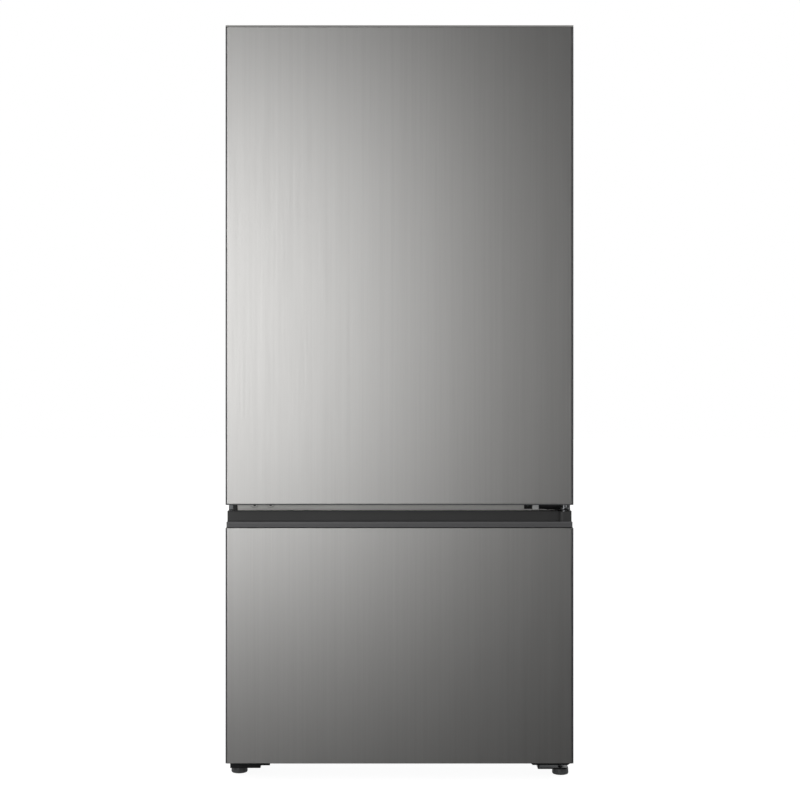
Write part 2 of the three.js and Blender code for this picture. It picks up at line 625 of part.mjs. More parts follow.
/** Pressed bracket under the left front corner: a top plate, a stepped front and a shelf for the foot. */
function leftFootBracket() {
  const rear = CASE_FRONT + LEFT_BRACKET.depth;
  const span = [-SIDE + BRACKET_SIDE, -SIDE + LEFT_BRACKET.reach];
  const shelfSpan = [-SIDE + BRACKET_SIDE, -SIDE + LEFT_BRACKET.step];
  const face = [CASE_FRONT, CASE_FRONT + BRACKET_SHEET];
  const shelfLow = FOOT_HEIGHT + LEFT_BRACKET.shelf;
  return cut(
    join(
      block(span, [CASE_FRONT, rear], [BRACKET_TOP - BRACKET_SHEET, BRACKET_TOP]),
      block(span, face, [FOOT_HEIGHT + LEFT_BRACKET.lip, BRACKET_TOP]),
      block(shelfSpan, face, [shelfLow, BRACKET_TOP]),
      block(shelfSpan, [CASE_FRONT, rear], [shelfLow, shelfLow + BRACKET_SHEET]),
      block([shelfSpan[1] - BRACKET_SHEET, shelfSpan[1]], [CASE_FRONT, rear], [shelfLow, BRACKET_TOP]),
    ),
    rod('z', FOOT_HOLE, LEFT_FOOT, [0, BRACKET_TOP - BRACKET_SHEET]),
  );
}

/** Bottom hinge: a plate under the case that carries the freezer door's pin and the right foot's shelf. */
function bottomHinge() {
  const rear = CASE_FRONT + RIGHT_BRACKET.depth;
  const plate = [BRACKET_TOP - HINGE_PLATE, BRACKET_TOP];
  const inner = SIDE - RIGHT_BRACKET.reach;
  const across = [SIDE - RIGHT_BRACKET.step, HINGE[0] + ARM_HALF];
  const lowered = [FOOT_HEIGHT + RIGHT_BRACKET.shelf, FOOT_HEIGHT + RIGHT_BRACKET.shelf + BRACKET_SHEET];
  const armTop = FLOOR_CLEARANCE - HINGE_PLATE;
  return cut(
    join(
      block([inner, HINGE[0] + ARM_HALF], [CASE_FRONT, rear], plate),
      hingeArm(inner, CASE_FRONT + BRACKET_SHEET, [armTop - HINGE_PLATE, armTop]),
      rod('z', PIN_RADIUS, HINGE, [armTop - HINGE_PLATE, armTop + PIN_REACH]),
      block(across, [CASE_FRONT - HINGE_PLATE, rear], lowered),
      block([across[0], across[0] + BRACKET_SHEET], [CASE_FRONT - HINGE_PLATE, rear], [lowered[0], plate[1]]),
    ),
    rod('z', FOOT_HOLE, RIGHT_FOOT, [0, plate[0] - SEAT_GAP]),
  );
}

/** Levelling foot: a moulded pad with a screw stem, standing on the floor. */
function foot() {
  const bevel = 3;
  const stemTop = BRACKET_TOP - BRACKET_SHEET * 2 - 2;
  const profile = [
    [0, 0],
    [FOOT_RADIUS - bevel, 0],
    [FOOT_RADIUS, bevel],
    [FOOT_RADIUS, FOOT_HEIGHT - 1],
    [FOOT_RADIUS - 1, FOOT_HEIGHT],
    [FOOT_STEM_RADIUS, FOOT_HEIGHT],
    [FOOT_STEM_RADIUS, stemTop],
    [0, stemTop],
  ];
  return turned(profile, 32);
}

const ROLLER_Y = BACK - ROLLER_SETBACK;
const ROLLER_RADIUS = (FLOOR_CLEARANCE - ROLLER_CLEARANCE) / 2;
const ROLLER_SIDES = 32;

function rearRoller() {
  return cut(
    rod('x', ROLLER_RADIUS, [0, 0], both(ROLLER_WIDTH / 2), ROLLER_SIDES),
    rod('x', ROLLER_AXLE_RADIUS + PIN_CLEARANCE, [0, 0], both(ROLLER_WIDTH), 16),
  );
}

/** Pressed tray across the bottom of the machine compartment, with the rollers' forks under it. */
function compressorTray() {
  const half = CASE_INNER - SEAT_GAP;
  const depth = [MACHINE_FRONT + SEAT_GAP, BACK - TRAY_SHEET * 2];
  const deck = [FLOOR_CLEARANCE, TRAY_TOP];
  const flanges = [-1, 1].map((side) => {
    const edges = [side * half, side * (half - TRAY_SHEET)].sort((a, b) => a - b);
    return block(edges, depth, [deck[0], deck[0] + TRAY_FLANGE]);
  });
  const mounts = MOUNT_PLACES.map((place) => (
    rod('z', MOUNT_RADIUS, place, [deck[0], deck[1] + MOUNT_HEIGHT], 12)
  ));
  const forkHalf = ROLLER_WIDTH / 2 + 1;
  const forks = [-1, 1].flatMap((side) => {
    const x = side * (SIDE - ROLLER_INSET);
    const ears = [[x - forkHalf - BRACKET_SHEET, x - forkHalf], [x + forkHalf, x + forkHalf + BRACKET_SHEET]];
    const axleLow = ROLLER_RADIUS - ROLLER_AXLE_RADIUS * 2;
    return [
      ...ears.map((ear) => block(ear, grown([ROLLER_Y, ROLLER_Y], ROLLER_AXLE_RADIUS * 3), [axleLow, deck[1]])),
      rod('x', ROLLER_AXLE_RADIUS, [ROLLER_Y, ROLLER_RADIUS], [ears[0][0], ears[1][1]], 16),
    ];
  });
  return join(block(both(half), depth, deck), ...flanges, ...mounts, ...forks);
}

// ------------------------------------------------------------------ machine compartment

const COMPRESSOR_X = -SIDE + COMPRESSOR_INSET;
const COMPRESSOR_HALF = COMPRESSOR_RADIUS * COMPRESSOR_RATIO;
const MOUNT_SPREAD = { x: COMPRESSOR_HALF, y: COMPRESSOR_RADIUS - COMPRESSOR_CLEARANCE };
const MOUNT_PLACES = [-1, 1].flatMap((sx) => [-1, 1].map((sy) => [
  COMPRESSOR_X + sx * MOUNT_SPREAD.x,
  MACHINE_MIDDLE + sy * MOUNT_SPREAD.y,
]));

// The shell's outline as shares of its radius and height, from the bottom up to the seam and on to the top
const SHELL_BELOW = [[0, 0], [0.7, 0], [0.92, 0.1]];
const SHELL_ABOVE = [[0.86, 0.84], [0.55, 0.97], [0, 1]];
const SEAM = { height: 0.55, radius: 0.96, width: 5 }; // welded flange between the shell's halves
const PROCESS_TUBE_RADIUS = 5;
const TERMINAL_BOX = { reach: 10, half: 24, low: 0.25, high: 0.6 };

/** Hermetic compressor: an oval welded shell on a foot plate, with a charging tube and a terminal box. */
function compressor() {
  const radius = COMPRESSOR_RADIUS;
  const top = COMPRESSOR_HEIGHT;
  const seam = top * SEAM.height;
  const scaled = (points) => points.map(([r, z]) => [r * radius, z * top]);
  const profile = [
    ...scaled(SHELL_BELOW),
    [radius * SEAM.radius, seam],
    [radius, seam],
    [radius, seam + SEAM.width],
    [radius * SEAM.radius, seam + SEAM.width],
    ...scaled(SHELL_ABOVE),
  ];
  const shell = turned(profile, 28).scale([COMPRESSOR_RATIO, 1, 1]).translate([0, 0, TRAY_SHEET]);
  const plate = block(
    both(MOUNT_SPREAD.x + MOUNT_RADIUS),
    both(MOUNT_SPREAD.y + MOUNT_RADIUS),
    [0, TRAY_SHEET * 1.5],
  );
  const tubeX = COMPRESSOR_HALF / 2;
  const tube = rod('z', PROCESS_TUBE_RADIUS, [tubeX, 0], [seam, top + PROCESS_TUBE_RISE], 10);
  const terminalBox = block(
    [radius, COMPRESSOR_HALF + TERMINAL_BOX.reach],
    both(TERMINAL_BOX.half),
    [top * TERMINAL_BOX.low, top * TERMINAL_BOX.high],
  );
  return join(shell, plate, tube, terminalBox);
}

/** Comb of upright fins on a spine, as one body: the fins run along Y. */
function finBlock(width, depth, height, spine, pitch) {
  const fins = Math.floor((width - FIN_THICKNESS) / pitch) + 1;
  const start = -((fins - 1) * pitch) / 2;
  const uprights = Array.from({ length: fins }, (_, i) => {
    const x = start + i * pitch;
    return block(grown([x, x], FIN_THICKNESS / 2), both(depth / 2), [0, height]);
  });
  return join(block([start, -start], both(depth / 2), [0, spine]), ...uprights);
}

/** Straight tube runs through a coil's fins. */
function tubeRuns(width, height, rows) {
  return Array.from({ length: rows }, (_, row) => {
    const z = (height * (row + 0.7)) / rows;
    return rod('x', TUBE_RADIUS, [0, z], both(width / 2 + TUBE_RADIUS), 6);
  });
}


/** Axial fan along Z: blades in a ring on a hub, with its shaft behind. */
function fan(radius, hubRadius, hubLength, bladeThickness) {
  const pitch = Math.PI / 5;
  const root = hubRadius / 2;
  const reach = radius * 0.97 - root;
  const vanes = Array.from({ length: FAN_BLADES }, (_, i) => {
    const vane = new THREE.BoxGeometry(reach, radius * FAN_CHORD, bladeThickness);
    vane.rotateX(pitch);
    vane.translate(root + reach / 2, 0, hubLength / 2);
    vane.rotateZ((i / FAN_BLADES) * Math.PI * 2);
    return solid(vane);
  });
  const rotor = join(rod('z', hubRadius, [0, 0], [0, hubLength], 20), ...vanes);
  const shaft = rod('z', FAN_SHAFT_RADIUS, [0, 0], [-FAN_SHAFT_LENGTH, 1], 12);
  return join(rotor, shaft);
}

const FAN_BLADES = 5;
const FAN_HUB = 18;
const CONDENSER_HUB_LENGTH = 22;
const CONDENSER_BLADE_THICKNESS = 3;
const MOTOR_LENGTH = 34;
const MOTOR_WALL = 4; // how much wider the motor is than the hub
const MOTOR_STAND = 30; // the stand's half width and the length of its toe
const TOE_END = COMPRESSOR_X + COMPRESSOR_HALF + TERMINAL_BOX.reach + FAN_STAND_GAP;
const CONDENSER_FAN_X = TOE_END + MOTOR_STAND + MOTOR_LENGTH + FAN_FACE_GAP;
const CONDENSER_FAN_Z = TRAY_TOP + CONDENSER_FAN_RADIUS + CONDENSER_FAN_RISE;

/** Fan motor on its pressed stand. The bore in its face takes the fan's shaft. */
function condenserFanMotor() {
  const face = CONDENSER_FAN_X - FAN_FACE_GAP;
  const rear = face - MOTOR_LENGTH;
  const place = [MACHINE_MIDDLE, CONDENSER_FAN_Z];
  const standDepth = grown([MACHINE_MIDDLE, MACHINE_MIDDLE], MOTOR_STAND);
  const bottom = TRAY_TOP + SEAT_GAP;
  const stand = block([rear, rear + BRACKET_SHEET], standDepth, [bottom, CONDENSER_FAN_Z]);
  const toe = block([rear - MOTOR_STAND, rear + BRACKET_SHEET], standDepth, [bottom, bottom + BRACKET_SHEET]);
  return cut(
    join(rod('x', FAN_HUB + MOTOR_WALL, place, [rear, face]), stand, toe),
    rod('x', FAN_SHAFT_RADIUS + PIN_CLEARANCE, place, [face - FAN_SHAFT_LENGTH, face + FOIL], 12),
  );
}

const CONDENSER_SPINE = 3;
const CONDENSER_ROWS = 4;
const CONDENSER_SIDES = [CONDENSER_FAN_X + CONDENSER_FAN_GAP, CASE_INNER - CONDENSER_SIDE_GAP];
const CONDENSER_X = (CONDENSER_SIDES[0] + CONDENSER_SIDES[1]) / 2;

/** Finned coil that stands on the tray. */
function condenser() {
  const width = CONDENSER_SIDES[1] - CONDENSER_SIDES[0];
  return join(
    finBlock(width, CONDENSER_DEPTH, CONDENSER_HEIGHT, CONDENSER_SPINE, CONDENSER_FIN_PITCH),
    ...tubeRuns(width, CONDENSER_HEIGHT, CONDENSER_ROWS),
  );
}

const DRIP_TRAY_MARGIN = 4; // beyond the compressor's sides

/** Open tray on top of the compressor, whose warmth dries the defrost water. */
function dripTray() {
  const across = grown([COMPRESSOR_X, COMPRESSOR_X], COMPRESSOR_HALF + DRIP_TRAY_MARGIN);
  const along = grown([MACHINE_MIDDLE, MACHINE_MIDDLE], COMPRESSOR_RADIUS);
  const top = DRIP_TRAY_FLOOR + DRIP_TRAY_HEIGHT;
  return cut(
    block(across, along, [DRIP_TRAY_FLOOR, top]),
    block(grown(across, -WALL), grown(along, -WALL), [DRIP_TRAY_FLOOR + WALL, top + FOIL]),
  );
}

const GRILLE = { slots: 16, pitch: 22, width: 9, margin: 48 }; // margin is above and below the slots
const GLAND = { inset: 70, rise: 60, radius: 9, bore: 5, depth: 14 }; // inset is from the case's side wall

/** Rear cover of the machine compartment, with upright air slots and the cord's gland. */
function machineCover() {
  const plate = [BACK - WALL, BACK];
  const height = [FLOOR_CLEARANCE, MACHINE_TOP - SEAT_GAP];
  const start = -((GRILLE.slots - 1) * GRILLE.pitch) / 2;
  const slots = Array.from({ length: GRILLE.slots }, (_, i) => {
    const x = start + i * GRILLE.pitch;
    return block(grown([x, x], GRILLE.width / 2), grown(plate, FOIL), grown(height, -GRILLE.margin));
  });
  const place = [-CASE_INNER + GLAND.inset, FLOOR_CLEARANCE + GLAND.rise];
  const gland = rod('y', GLAND.radius, place, [BACK - GLAND.depth, BACK - WALL / 2], 16);
  const bore = rod('y', GLAND.bore, place, [BACK - GLAND.depth - FOIL, BACK + FOIL], 12);
  return cut(join(block(both(CASE_INNER - SEAT_GAP), plate, height), gland), bore, ...slots);
}

// ------------------------------------------------------------------ freezer cooling and fridge air

const DUCT_BOTTOM = STEP_TOP + SEAT_GAP;
const DUCT_TOP = FREEZER_CEILING - SEAT_GAP;
const FAN_RING = { gap: 4, margin: 14 }; // gap round the blades, and from them to the cover's top edge
const FREEZER_FAN_Z = DUCT_TOP - EVAPORATOR_FAN_RADIUS - FAN_RING.margin;
const FREEZER_FAN_HUB = 15;
const FREEZER_HUB_LENGTH = 16;
const FREEZER_BLADE_THICKNESS = 2.5;
const MOTOR_BOSS = 6; // how far the fan's motor stands out behind the cover
const BOSS_FACE = DUCT_FACE + DUCT_COVER + MOTOR_BOSS;
const SPOKES = 3;
const RETURN_SLOTS = { count: 5, pitch: 110, half: 40, rise: 14, height: 8 };

/** Moulded wall behind the drawers, with the fan's ring and the spokes that hold its motor. */
function freezerDuctCover() {
  const plate = [DUCT_FACE, DUCT_FACE + DUCT_COVER];
  const wall = block(both(FREEZER_HALF - SEAT_GAP), plate, [DUCT_BOTTOM, DUCT_TOP]);
  const place = [0, FREEZER_FAN_Z];
  const opening = rod('y', EVAPORATOR_FAN_RADIUS + FAN_RING.gap, place, grown(plate, FOIL), 32);
  const reach = EVAPORATOR_FAN_RADIUS + FAN_RING.gap + FOIL * 2;
  const spokes = Array.from({ length: SPOKES }, (_, i) => {
    const spoke = new THREE.BoxGeometry(reach, DUCT_COVER, DUCT_COVER);
    spoke.translate(reach / 2, 0, 0);
    spoke.rotateY((i / SPOKES) * Math.PI * 2 + Math.PI / 6);
    spoke.translate(0, DUCT_FACE + DUCT_COVER / 2, FREEZER_FAN_Z);
    return solid(spoke);
  });
  const boss = rod('y', FREEZER_FAN_HUB, place, [DUCT_FACE, BOSS_FACE], 20);
  const boreReach = [BOSS_FACE - FAN_SHAFT_LENGTH, BOSS_FACE + FOIL];
  const bore = rod('y', FAN_SHAFT_RADIUS + PIN_CLEARANCE, place, boreReach, 12);
  const slotLow = DUCT_BOTTOM + RETURN_SLOTS.rise;
  const slotHeight = [slotLow, slotLow + RETURN_SLOTS.height];
  const returnSlots = Array.from({ length: RETURN_SLOTS.count }, (_, i) => {
    const x = (i - (RETURN_SLOTS.count - 1) / 2) * RETURN_SLOTS.pitch;
    return block(grown([x, x], RETURN_SLOTS.half), grown(plate, FOIL), slotHeight);
  });
  return cut(join(cut(wall, opening), ...spokes, boss), bore, ...returnSlots);
}

/** Finned cooling coil behind the duct cover. */
function evaporator() {
  const { width, depth, height } = EVAPORATOR;
  return join(
    finBlock(width, depth, height, FIN_THICKNESS, EVAPORATOR_FIN_PITCH),
    ...tubeRuns(width, height, 3),
  );
}

const OUTLET = { margin: 24, depth: 8, half: 7 };

/** Air column on the fridge's back wall, with a row of outlets pressed into its face. */
function fridgeAirDuct() {
  const face = INNER_BACK - SEAT_GAP - AIR_DUCT.depth;
  const shape = rectangle(both(AIR_DUCT.half), [face, INNER_BACK - SEAT_GAP], [8, 8, 0, 0]);
  const height = [FRIDGE_FLOOR + AIR_DUCT.low, FRIDGE_CEILING - AIR_DUCT.drop];
  const pitch = (height[1] - height[0]) / AIR_DUCT.outlets;
  const outletSpan = both(AIR_DUCT.half - OUTLET.margin);
  const outlets = Array.from({ length: AIR_DUCT.outlets }, (_, i) => {
    const z = height[0] + pitch * (i + 0.5);
    return block(outletSpan, [face - FOIL, face + OUTLET.depth], grown([z, z], OUTLET.half));
  });
  return cut(prism('z', shape, height), ...outlets);
}

const CONTROL_BOX = { half: 130, height: 38, depth: 150, front: 12 };
const DIAL = { radius: 15, depth: 12, skirt: 4, ridge: 3, shaft: 4, shaftLength: 9, inset: 60 };
const LAMP = { half: 60, inset: 25, setback: 24, depth: 90, groove: 2 }; // inset is from the box's end
const CONTROL_FACE = SHELF_FRONT - CONTROL_BOX.front;
const DIAL_PLACE = [CONTROL_BOX.half - DIAL.inset, FRIDGE_CEILING - CONTROL_BOX.height / 2];
const LAMP_X = -CONTROL_BOX.half + LAMP.inset + LAMP.half;
const LAMP_Y = [CONTROL_FACE + LAMP.setback, CONTROL_FACE + LAMP.setback + LAMP.depth];

/** Housing on the fridge ceiling with the lamp's window below and the dial in front. */
function controlBox() {
  const top = FRIDGE_CEILING - SEAT_GAP;
  const shell = block(both(CONTROL_BOX.half), [CONTROL_FACE, CONTROL_FACE + CONTROL_BOX.depth],
    [top - CONTROL_BOX.height, top]);
  const bottom = top - CONTROL_BOX.height;
  const lampGroove = cut(
    block(grown([LAMP_X, LAMP_X], LAMP.half), LAMP_Y, [bottom - FOIL, bottom + LAMP.groove]),
    block(grown([LAMP_X, LAMP_X], LAMP.half - LAMP.groove), grown(LAMP_Y, -LAMP.groove),
      [bottom - FOIL * 2, bottom + LAMP.groove + FOIL]),
  );
  const boreReach = [CONTROL_FACE - FOIL, CONTROL_FACE + DIAL.shaftLength];
  const bore = rod('y', DIAL.shaft + PIN_CLEARANCE, DIAL_PLACE, boreReach, 16);
  return cut(shell, lampGroove, bore);
}

/** Round knob with a pointer ridge, turning about Y, with its shaft behind. */
function temperatureDial() {
  const face = -SEAT_GAP;
  return join(
    rod('y', DIAL.radius * 0.8, [0, 0], [face - DIAL.depth, face], 28),
    rod('y', DIAL.radius, [0, 0], [face - DIAL.skirt, face], 28),
    block(both(DIAL.ridge), [face - DIAL.depth - DIAL.ridge, face - 1], both(DIAL.radius * 0.75)),
    rod('y', DIAL.shaft, [0, 0], [face, DIAL.shaftLength - 1], 16),
  );
}

// ------------------------------------------------------------------ shelves

/** Plastic frame of a glass shelf: x from its middle, y from its front and z from its underside. */
function shelfFrame() {
  const windowY = [SHELF_TRIM, SHELF_DEPTH - SHELF_RIM];
  const windowHalf = SHELF_HALF - SHELF_RIM;
  const pocket = block(both(windowHalf + GLASS_SEAT), grown(windowY, GLASS_SEAT),
    [SHELF_THICKNESS - GLASS_THICKNESS - SEAT_GAP, SHELF_THICKNESS + FOIL]);
  const opening = block(both(windowHalf), windowY, [-FOIL, SHELF_THICKNESS + FOIL]);
  const frontEdge = [6, 0, 0, 6];
  const outline = rectangle([0, SHELF_DEPTH], [0, SHELF_THICKNESS], frontEdge);
  return cut(prism('x', outline, both(SHELF_HALF)), pocket, opening);
}

function shelfGlass() {
  const windowY = [SHELF_TRIM, SHELF_DEPTH - SHELF_RIM];
  return block(
    both(SHELF_HALF - SHELF_RIM + GLASS_SEAT - SEAT_GAP),
    grown(windowY, GLASS_SEAT - SEAT_GAP),
    [SHELF_THICKNESS - GLASS_THICKNESS, SHELF_THICKNESS],
  );
}

const CHILL_HALF = FRIDGE_HALF - CRISPER_SIDE_GAP;

/** The low shelf's frame also has two hook rails, which carry the chill drawer by its rims. */
function hookRails() {
  const web = CHILL_HALF + 1;
  const along = [SHELF_TRIM, SHELF_DEPTH - SHELF_RIM];
  return [-1, 1].flatMap((side) => {
    const order = (a, b) => [side * a, side * b].sort((p, q) => p - q);
    return [
      block(order(web, web + HOOK), along, [-CHILL_RAIL_DROP, 1]),
      block(order(web + HOOK - HOOK_TOE, web + HOOK), along, [-CHILL_RAIL_DROP, HOOK - CHILL_RAIL_DROP]),
    ];
  });
}

function shelf(name, rise) {
  const frame = name === 'shelf_low' ? join(shelfFrame(), ...hookRails()) : shelfFrame();
  const place = [0, SHELF_FRONT, FRIDGE_FLOOR + rise];
  return [
    piece(`${name}_frame`, frame, whitePlastic, place),
    piece(`${name}_glass`, shelfGlass(), safetyGlass, place),
  ];
}

// ------------------------------------------------------------------ drawers

const DRAWER_GRIP = { half: 90, wall: 4, height: 22 };

/**
 * An open drawer in its own place: x from its middle, y from its face, z from its floor. The rim stands out
 * by rimWidth at the sides, and a grip is hollowed out of the face's top edge.
 */
function drawer({ half, depth, height, rimWidth }) {
  const bodyHalf = half - rimWidth;
  const tub = block(both(bodyHalf), [DRAWER_FRONT / 2, depth], [0, height]);
  const rim = block(both(half), [DRAWER_FRONT / 2, depth], [height - DRAWER_RIM, height]);
  const face = prism('x', rectangle([0, DRAWER_FRONT], [0, height], [3, 0, 0, 3]), both(half));
  const hollow = block(
    both(bodyHalf - DRAWER_WALL),
    [DRAWER_FRONT, depth - DRAWER_WALL],
    [DRAWER_WALL, height + FOIL],
  );
  const gripHalf = Math.min(half / 2, DRAWER_GRIP.half);
  const gripDepth = DRAWER_FRONT - DRAWER_GRIP.wall;
  const gripHeight = [height - DRAWER_RIM - DRAWER_GRIP.height, height - DRAWER_RIM];
  const grip = block(both(gripHalf), [-FOIL, gripDepth], gripHeight);
  return cut(join(tub, rim, face), hollow, grip);
}

const CRISPER_HALF = (FRIDGE_HALF - CRISPER_SIDE_GAP - CRISPER_MIDDLE_GAP / 2) / 2;
const CRISPER_X = CRISPER_MIDDLE_GAP / 2 + CRISPER_HALF;

function crisper(name, side) {
  const shape = drawer({ half: CRISPER_HALF, depth: CRISPER_DEPTH, height: CRISPER_HEIGHT, rimWidth: 4 });
  return piece(name, shape, clearPlastic, [side * CRISPER_X, DRAWER_FACE, FRIDGE_FLOOR + SEAT_GAP]);
}

function chillDrawer() {
  const shape = drawer({
    half: CHILL_HALF,
    depth: SHELF_DEPTH - SHELF_RIM,
    height: CHILL_DRAWER_HEIGHT,
    rimWidth: HOOK_TOE,
  });
  return piece('chill_drawer', shape, clearPlastic, [0, DRAWER_FACE, FRIDGE_FLOOR + CHILL_FLOOR_RISE]);
}

function freezerDrawer(name, { floor, height, depth }) {
  const shape = drawer({ half: FREEZER_DRAWER_HALF, depth, height, rimWidth: FREEZER_RIM_WIDTH });
  return piece(name, shape, clearPlastic, [0, FREEZER_FACE, floor + SEAT_GAP]);
}

// ------------------------------------------------------------------ doors
// A door's own place: x from its middle, y from its face and z from its lower edge.

const DOOR_HINGE = [HINGE[0], HINGE_INSET_FRONT];
const DOOR_REAR = DOOR_DEPTH - LINER_PLATE;
const CORE_HALF = CASE_INNER - SEAT_GAP;

/** What fits inside a door's skin: a rounded slab up to the inner panel. */
function doorFilling(height) {
  const radius = DOOR_CORNER - SHEET;
  const depth = [SHEET + SEAT_GAP, DOOR_REAR - SEAT_GAP];
  return prism('z', rectangle(both(CORE_HALF), depth, [radius, radius, 0, 0]), height);
}

/** Steel skin: a sheet folded round the door's front and sides. */
function doorSkin(height) {
  const corner = [DOOR_CORNER, DOOR_CORNER, 0, 0];
  const inner = [DOOR_CORNER - SHEET, DOOR_CORNER - SHEET, 0, 0];
  return cut(
    prism('z', rectangle(both(SIDE), [0, DOOR_REAR - SEAT_GAP], corner), height),
    prism('z', rectangle(both(CASE_INNER), [SHEET, DOOR_REAR + FOIL], inner), grown(height, FOIL)),
  );
}

/** Flat inner panel of a door, out to the gasket's seat. */
function linerPlate(height) {
  return block(both(SIDE), [DOOR_REAR, DOOR_DEPTH], [0, height]);
}

/** Raised rib round the part of the inner panel that enters the compartment. */
function linerRib(dyke, start) {
  const outer = { x: both(dyke.half), z: dyke.z };
  const inner = { x: grown(outer.x, -DYKE_WIDTH), z: grown(outer.z, -DYKE_WIDTH) };
  return frameRing(outer, inner, [start, DOOR_DEPTH + dyke.height]);
}

const GASKET_INSET = 21; // door edge to the gasket
const BELLOWS_INSET = 4; // base strip's edge to the bellows

/** Magnetic gasket: a base strip, a narrow bellows and a wider magnet strip, in one ring. */
function doorGasket(z) {
  const half = SIDE - GASKET_INSET;
  const ring = (inset, width, depth) => {
    const outer = { x: both(half - inset), z: grown(z, -inset) };
    return frameRing(outer, { x: grown(outer.x, -width), z: grown(outer.z, -width) }, depth);
  };
  const start = DOOR_DEPTH + SEAT_GAP;
  const end = DOOR_DEPTH + GASKET_DEPTH - SEAT_GAP;
  return join(
    ring(0, GASKET_WIDTH, [start, start + GASKET_STRIP]),
    ring(BELLOWS_INSET, GASKET_WIDTH - BELLOWS_INSET * 2, [start, end]),
    ring(1, GASKET_WIDTH - 2, [end - GASKET_STRIP, end]),
  );
}

function pinHole(from, to) {
  return rod('z', PIN_HOLE, DOOR_HINGE, [from, to]);
}

const FRIDGE_DOOR_HEIGHT = DOOR_TOP - FRIDGE_DOOR_BOTTOM;
const FREEZER_DOOR_HEIGHT = FREEZER_DOOR_TOP - FLOOR_CLEARANCE;
const PIN_POCKET = PIN_REACH + 2;
const FINGER_POCKET = { inset: 23, width: 167, margin: 14, corner: 8, roof: 7 }; // under the door's free end
const FRIDGE_LOCAL = FRIDGE_FLOOR - FRIDGE_DOOR_BOTTOM; // fridge floor above the fridge door's lower edge
const FRIDGE_DYKE_HALF = FRIDGE_HALF - FRIDGE_DYKE_GAP;
const FREEZER_DYKE_HALF = FREEZER_HALF - FREEZER_DYKE_GAP;
const BIN_HALF = FRIDGE_DYKE_HALF - DYKE_WIDTH - SEAT_GAP;
const BIN_BACK = DOOR_DEPTH + SEAT_GAP;

function fridgeDoorBottomCap() {
  const { inset, width, margin, corner, roof } = FINGER_POCKET;
  const across = [inset - SIDE, inset + width - SIDE];
  const outline = rectangle(across, [margin, DOOR_DEPTH - margin], [corner, corner, corner, corner]);
  const pocket = prism('z', outline, [-FOIL, POCKET_CAP - roof]);
  return cut(doorFilling([0, POCKET_CAP]), pinHole(-FOIL, PIN_POCKET), pocket);
}

function fridgeDoorTopCap() {
  const height = [FRIDGE_DOOR_HEIGHT - END_CAP, FRIDGE_DOOR_HEIGHT];
  return cut(doorFilling(height), pinHole(FRIDGE_DOOR_HEIGHT - PIN_POCKET, FRIDGE_DOOR_HEIGHT + FOIL));
}

/** Pair of lugs on the inner panel's ribs, which a bin hangs on. */
function binLugs({ rise }) {
  const rest = FRIDGE_LOCAL + rise - SEAT_GAP;
  const inner = BIN_HALF + SEAT_GAP;
  return [[-inner - FOIL, BIN_LUG - inner], [inner - BIN_LUG, inner + FOIL]].map((span) => (
    block(span, [BIN_BACK, DOOR_DEPTH + FRIDGE_DYKE_HEIGHT], [rest - BIN_LUG, rest])
  ));
}

/** Open bin whose front lower edge is rounded. */
function doorBin(name, { rise, height }) {
  const depth = [BIN_BACK, BIN_BACK + BIN_DEPTH];
  const outside = rectangle(depth, [0, height], [0, BIN_CORNER, 0, 0]);
  const insideCorners = [0, BIN_CORNER - BIN_WALL, 0, 0];
  const inside = rectangle(grown(depth, -BIN_WALL), [BIN_WALL, height + FOIL], insideCorners);
  const shape = cut(prism('x', outside, both(BIN_HALF)), prism('x', inside, both(BIN_HALF - BIN_WALL)));
  return piece(name, shape, clearPlastic, [0, 0, FRIDGE_LOCAL + rise]);
}

const LID_BIN = BINS.door_bin_high;
const LID_PIVOT = [
  DOOR_DEPTH + LID_PIVOT_SETBACK,
  FRIDGE_LOCAL + LID_BIN.rise + LID_BIN.height + LID_PIVOT_RISE,
];
const LID_PIN_END = BIN_HALF + 6;
const LID_REACH = BIN_DEPTH - LID_PIVOT_SETBACK;
const LID_LIP = 5;

/** Flip-up lid over the high bin, in its own place: y and z from its pivot. */
function dairyLid() {
  const low = SEAT_GAP * 2 - LID_PIVOT_RISE;
  const plate = [low, low + LID_THICKNESS];
  return join(
    block(both(BIN_HALF - 1), [-LID_PIVOT_RADIUS / 2, LID_REACH], plate),
    block(both(BIN_HALF - 1), [LID_REACH - LID_THICKNESS, LID_REACH], [low, plate[1] + LID_LIP]),
    rod('x', LID_PIVOT_RADIUS, [0, 0], both(LID_PIN_END), 16),
  );
}

const GASKET_GAP_INSET = 1.5; // a gasket's edge to the door's edge at the gap between the doors
const GASKET_END_INSET = 4; // a gasket's edge to the case's end

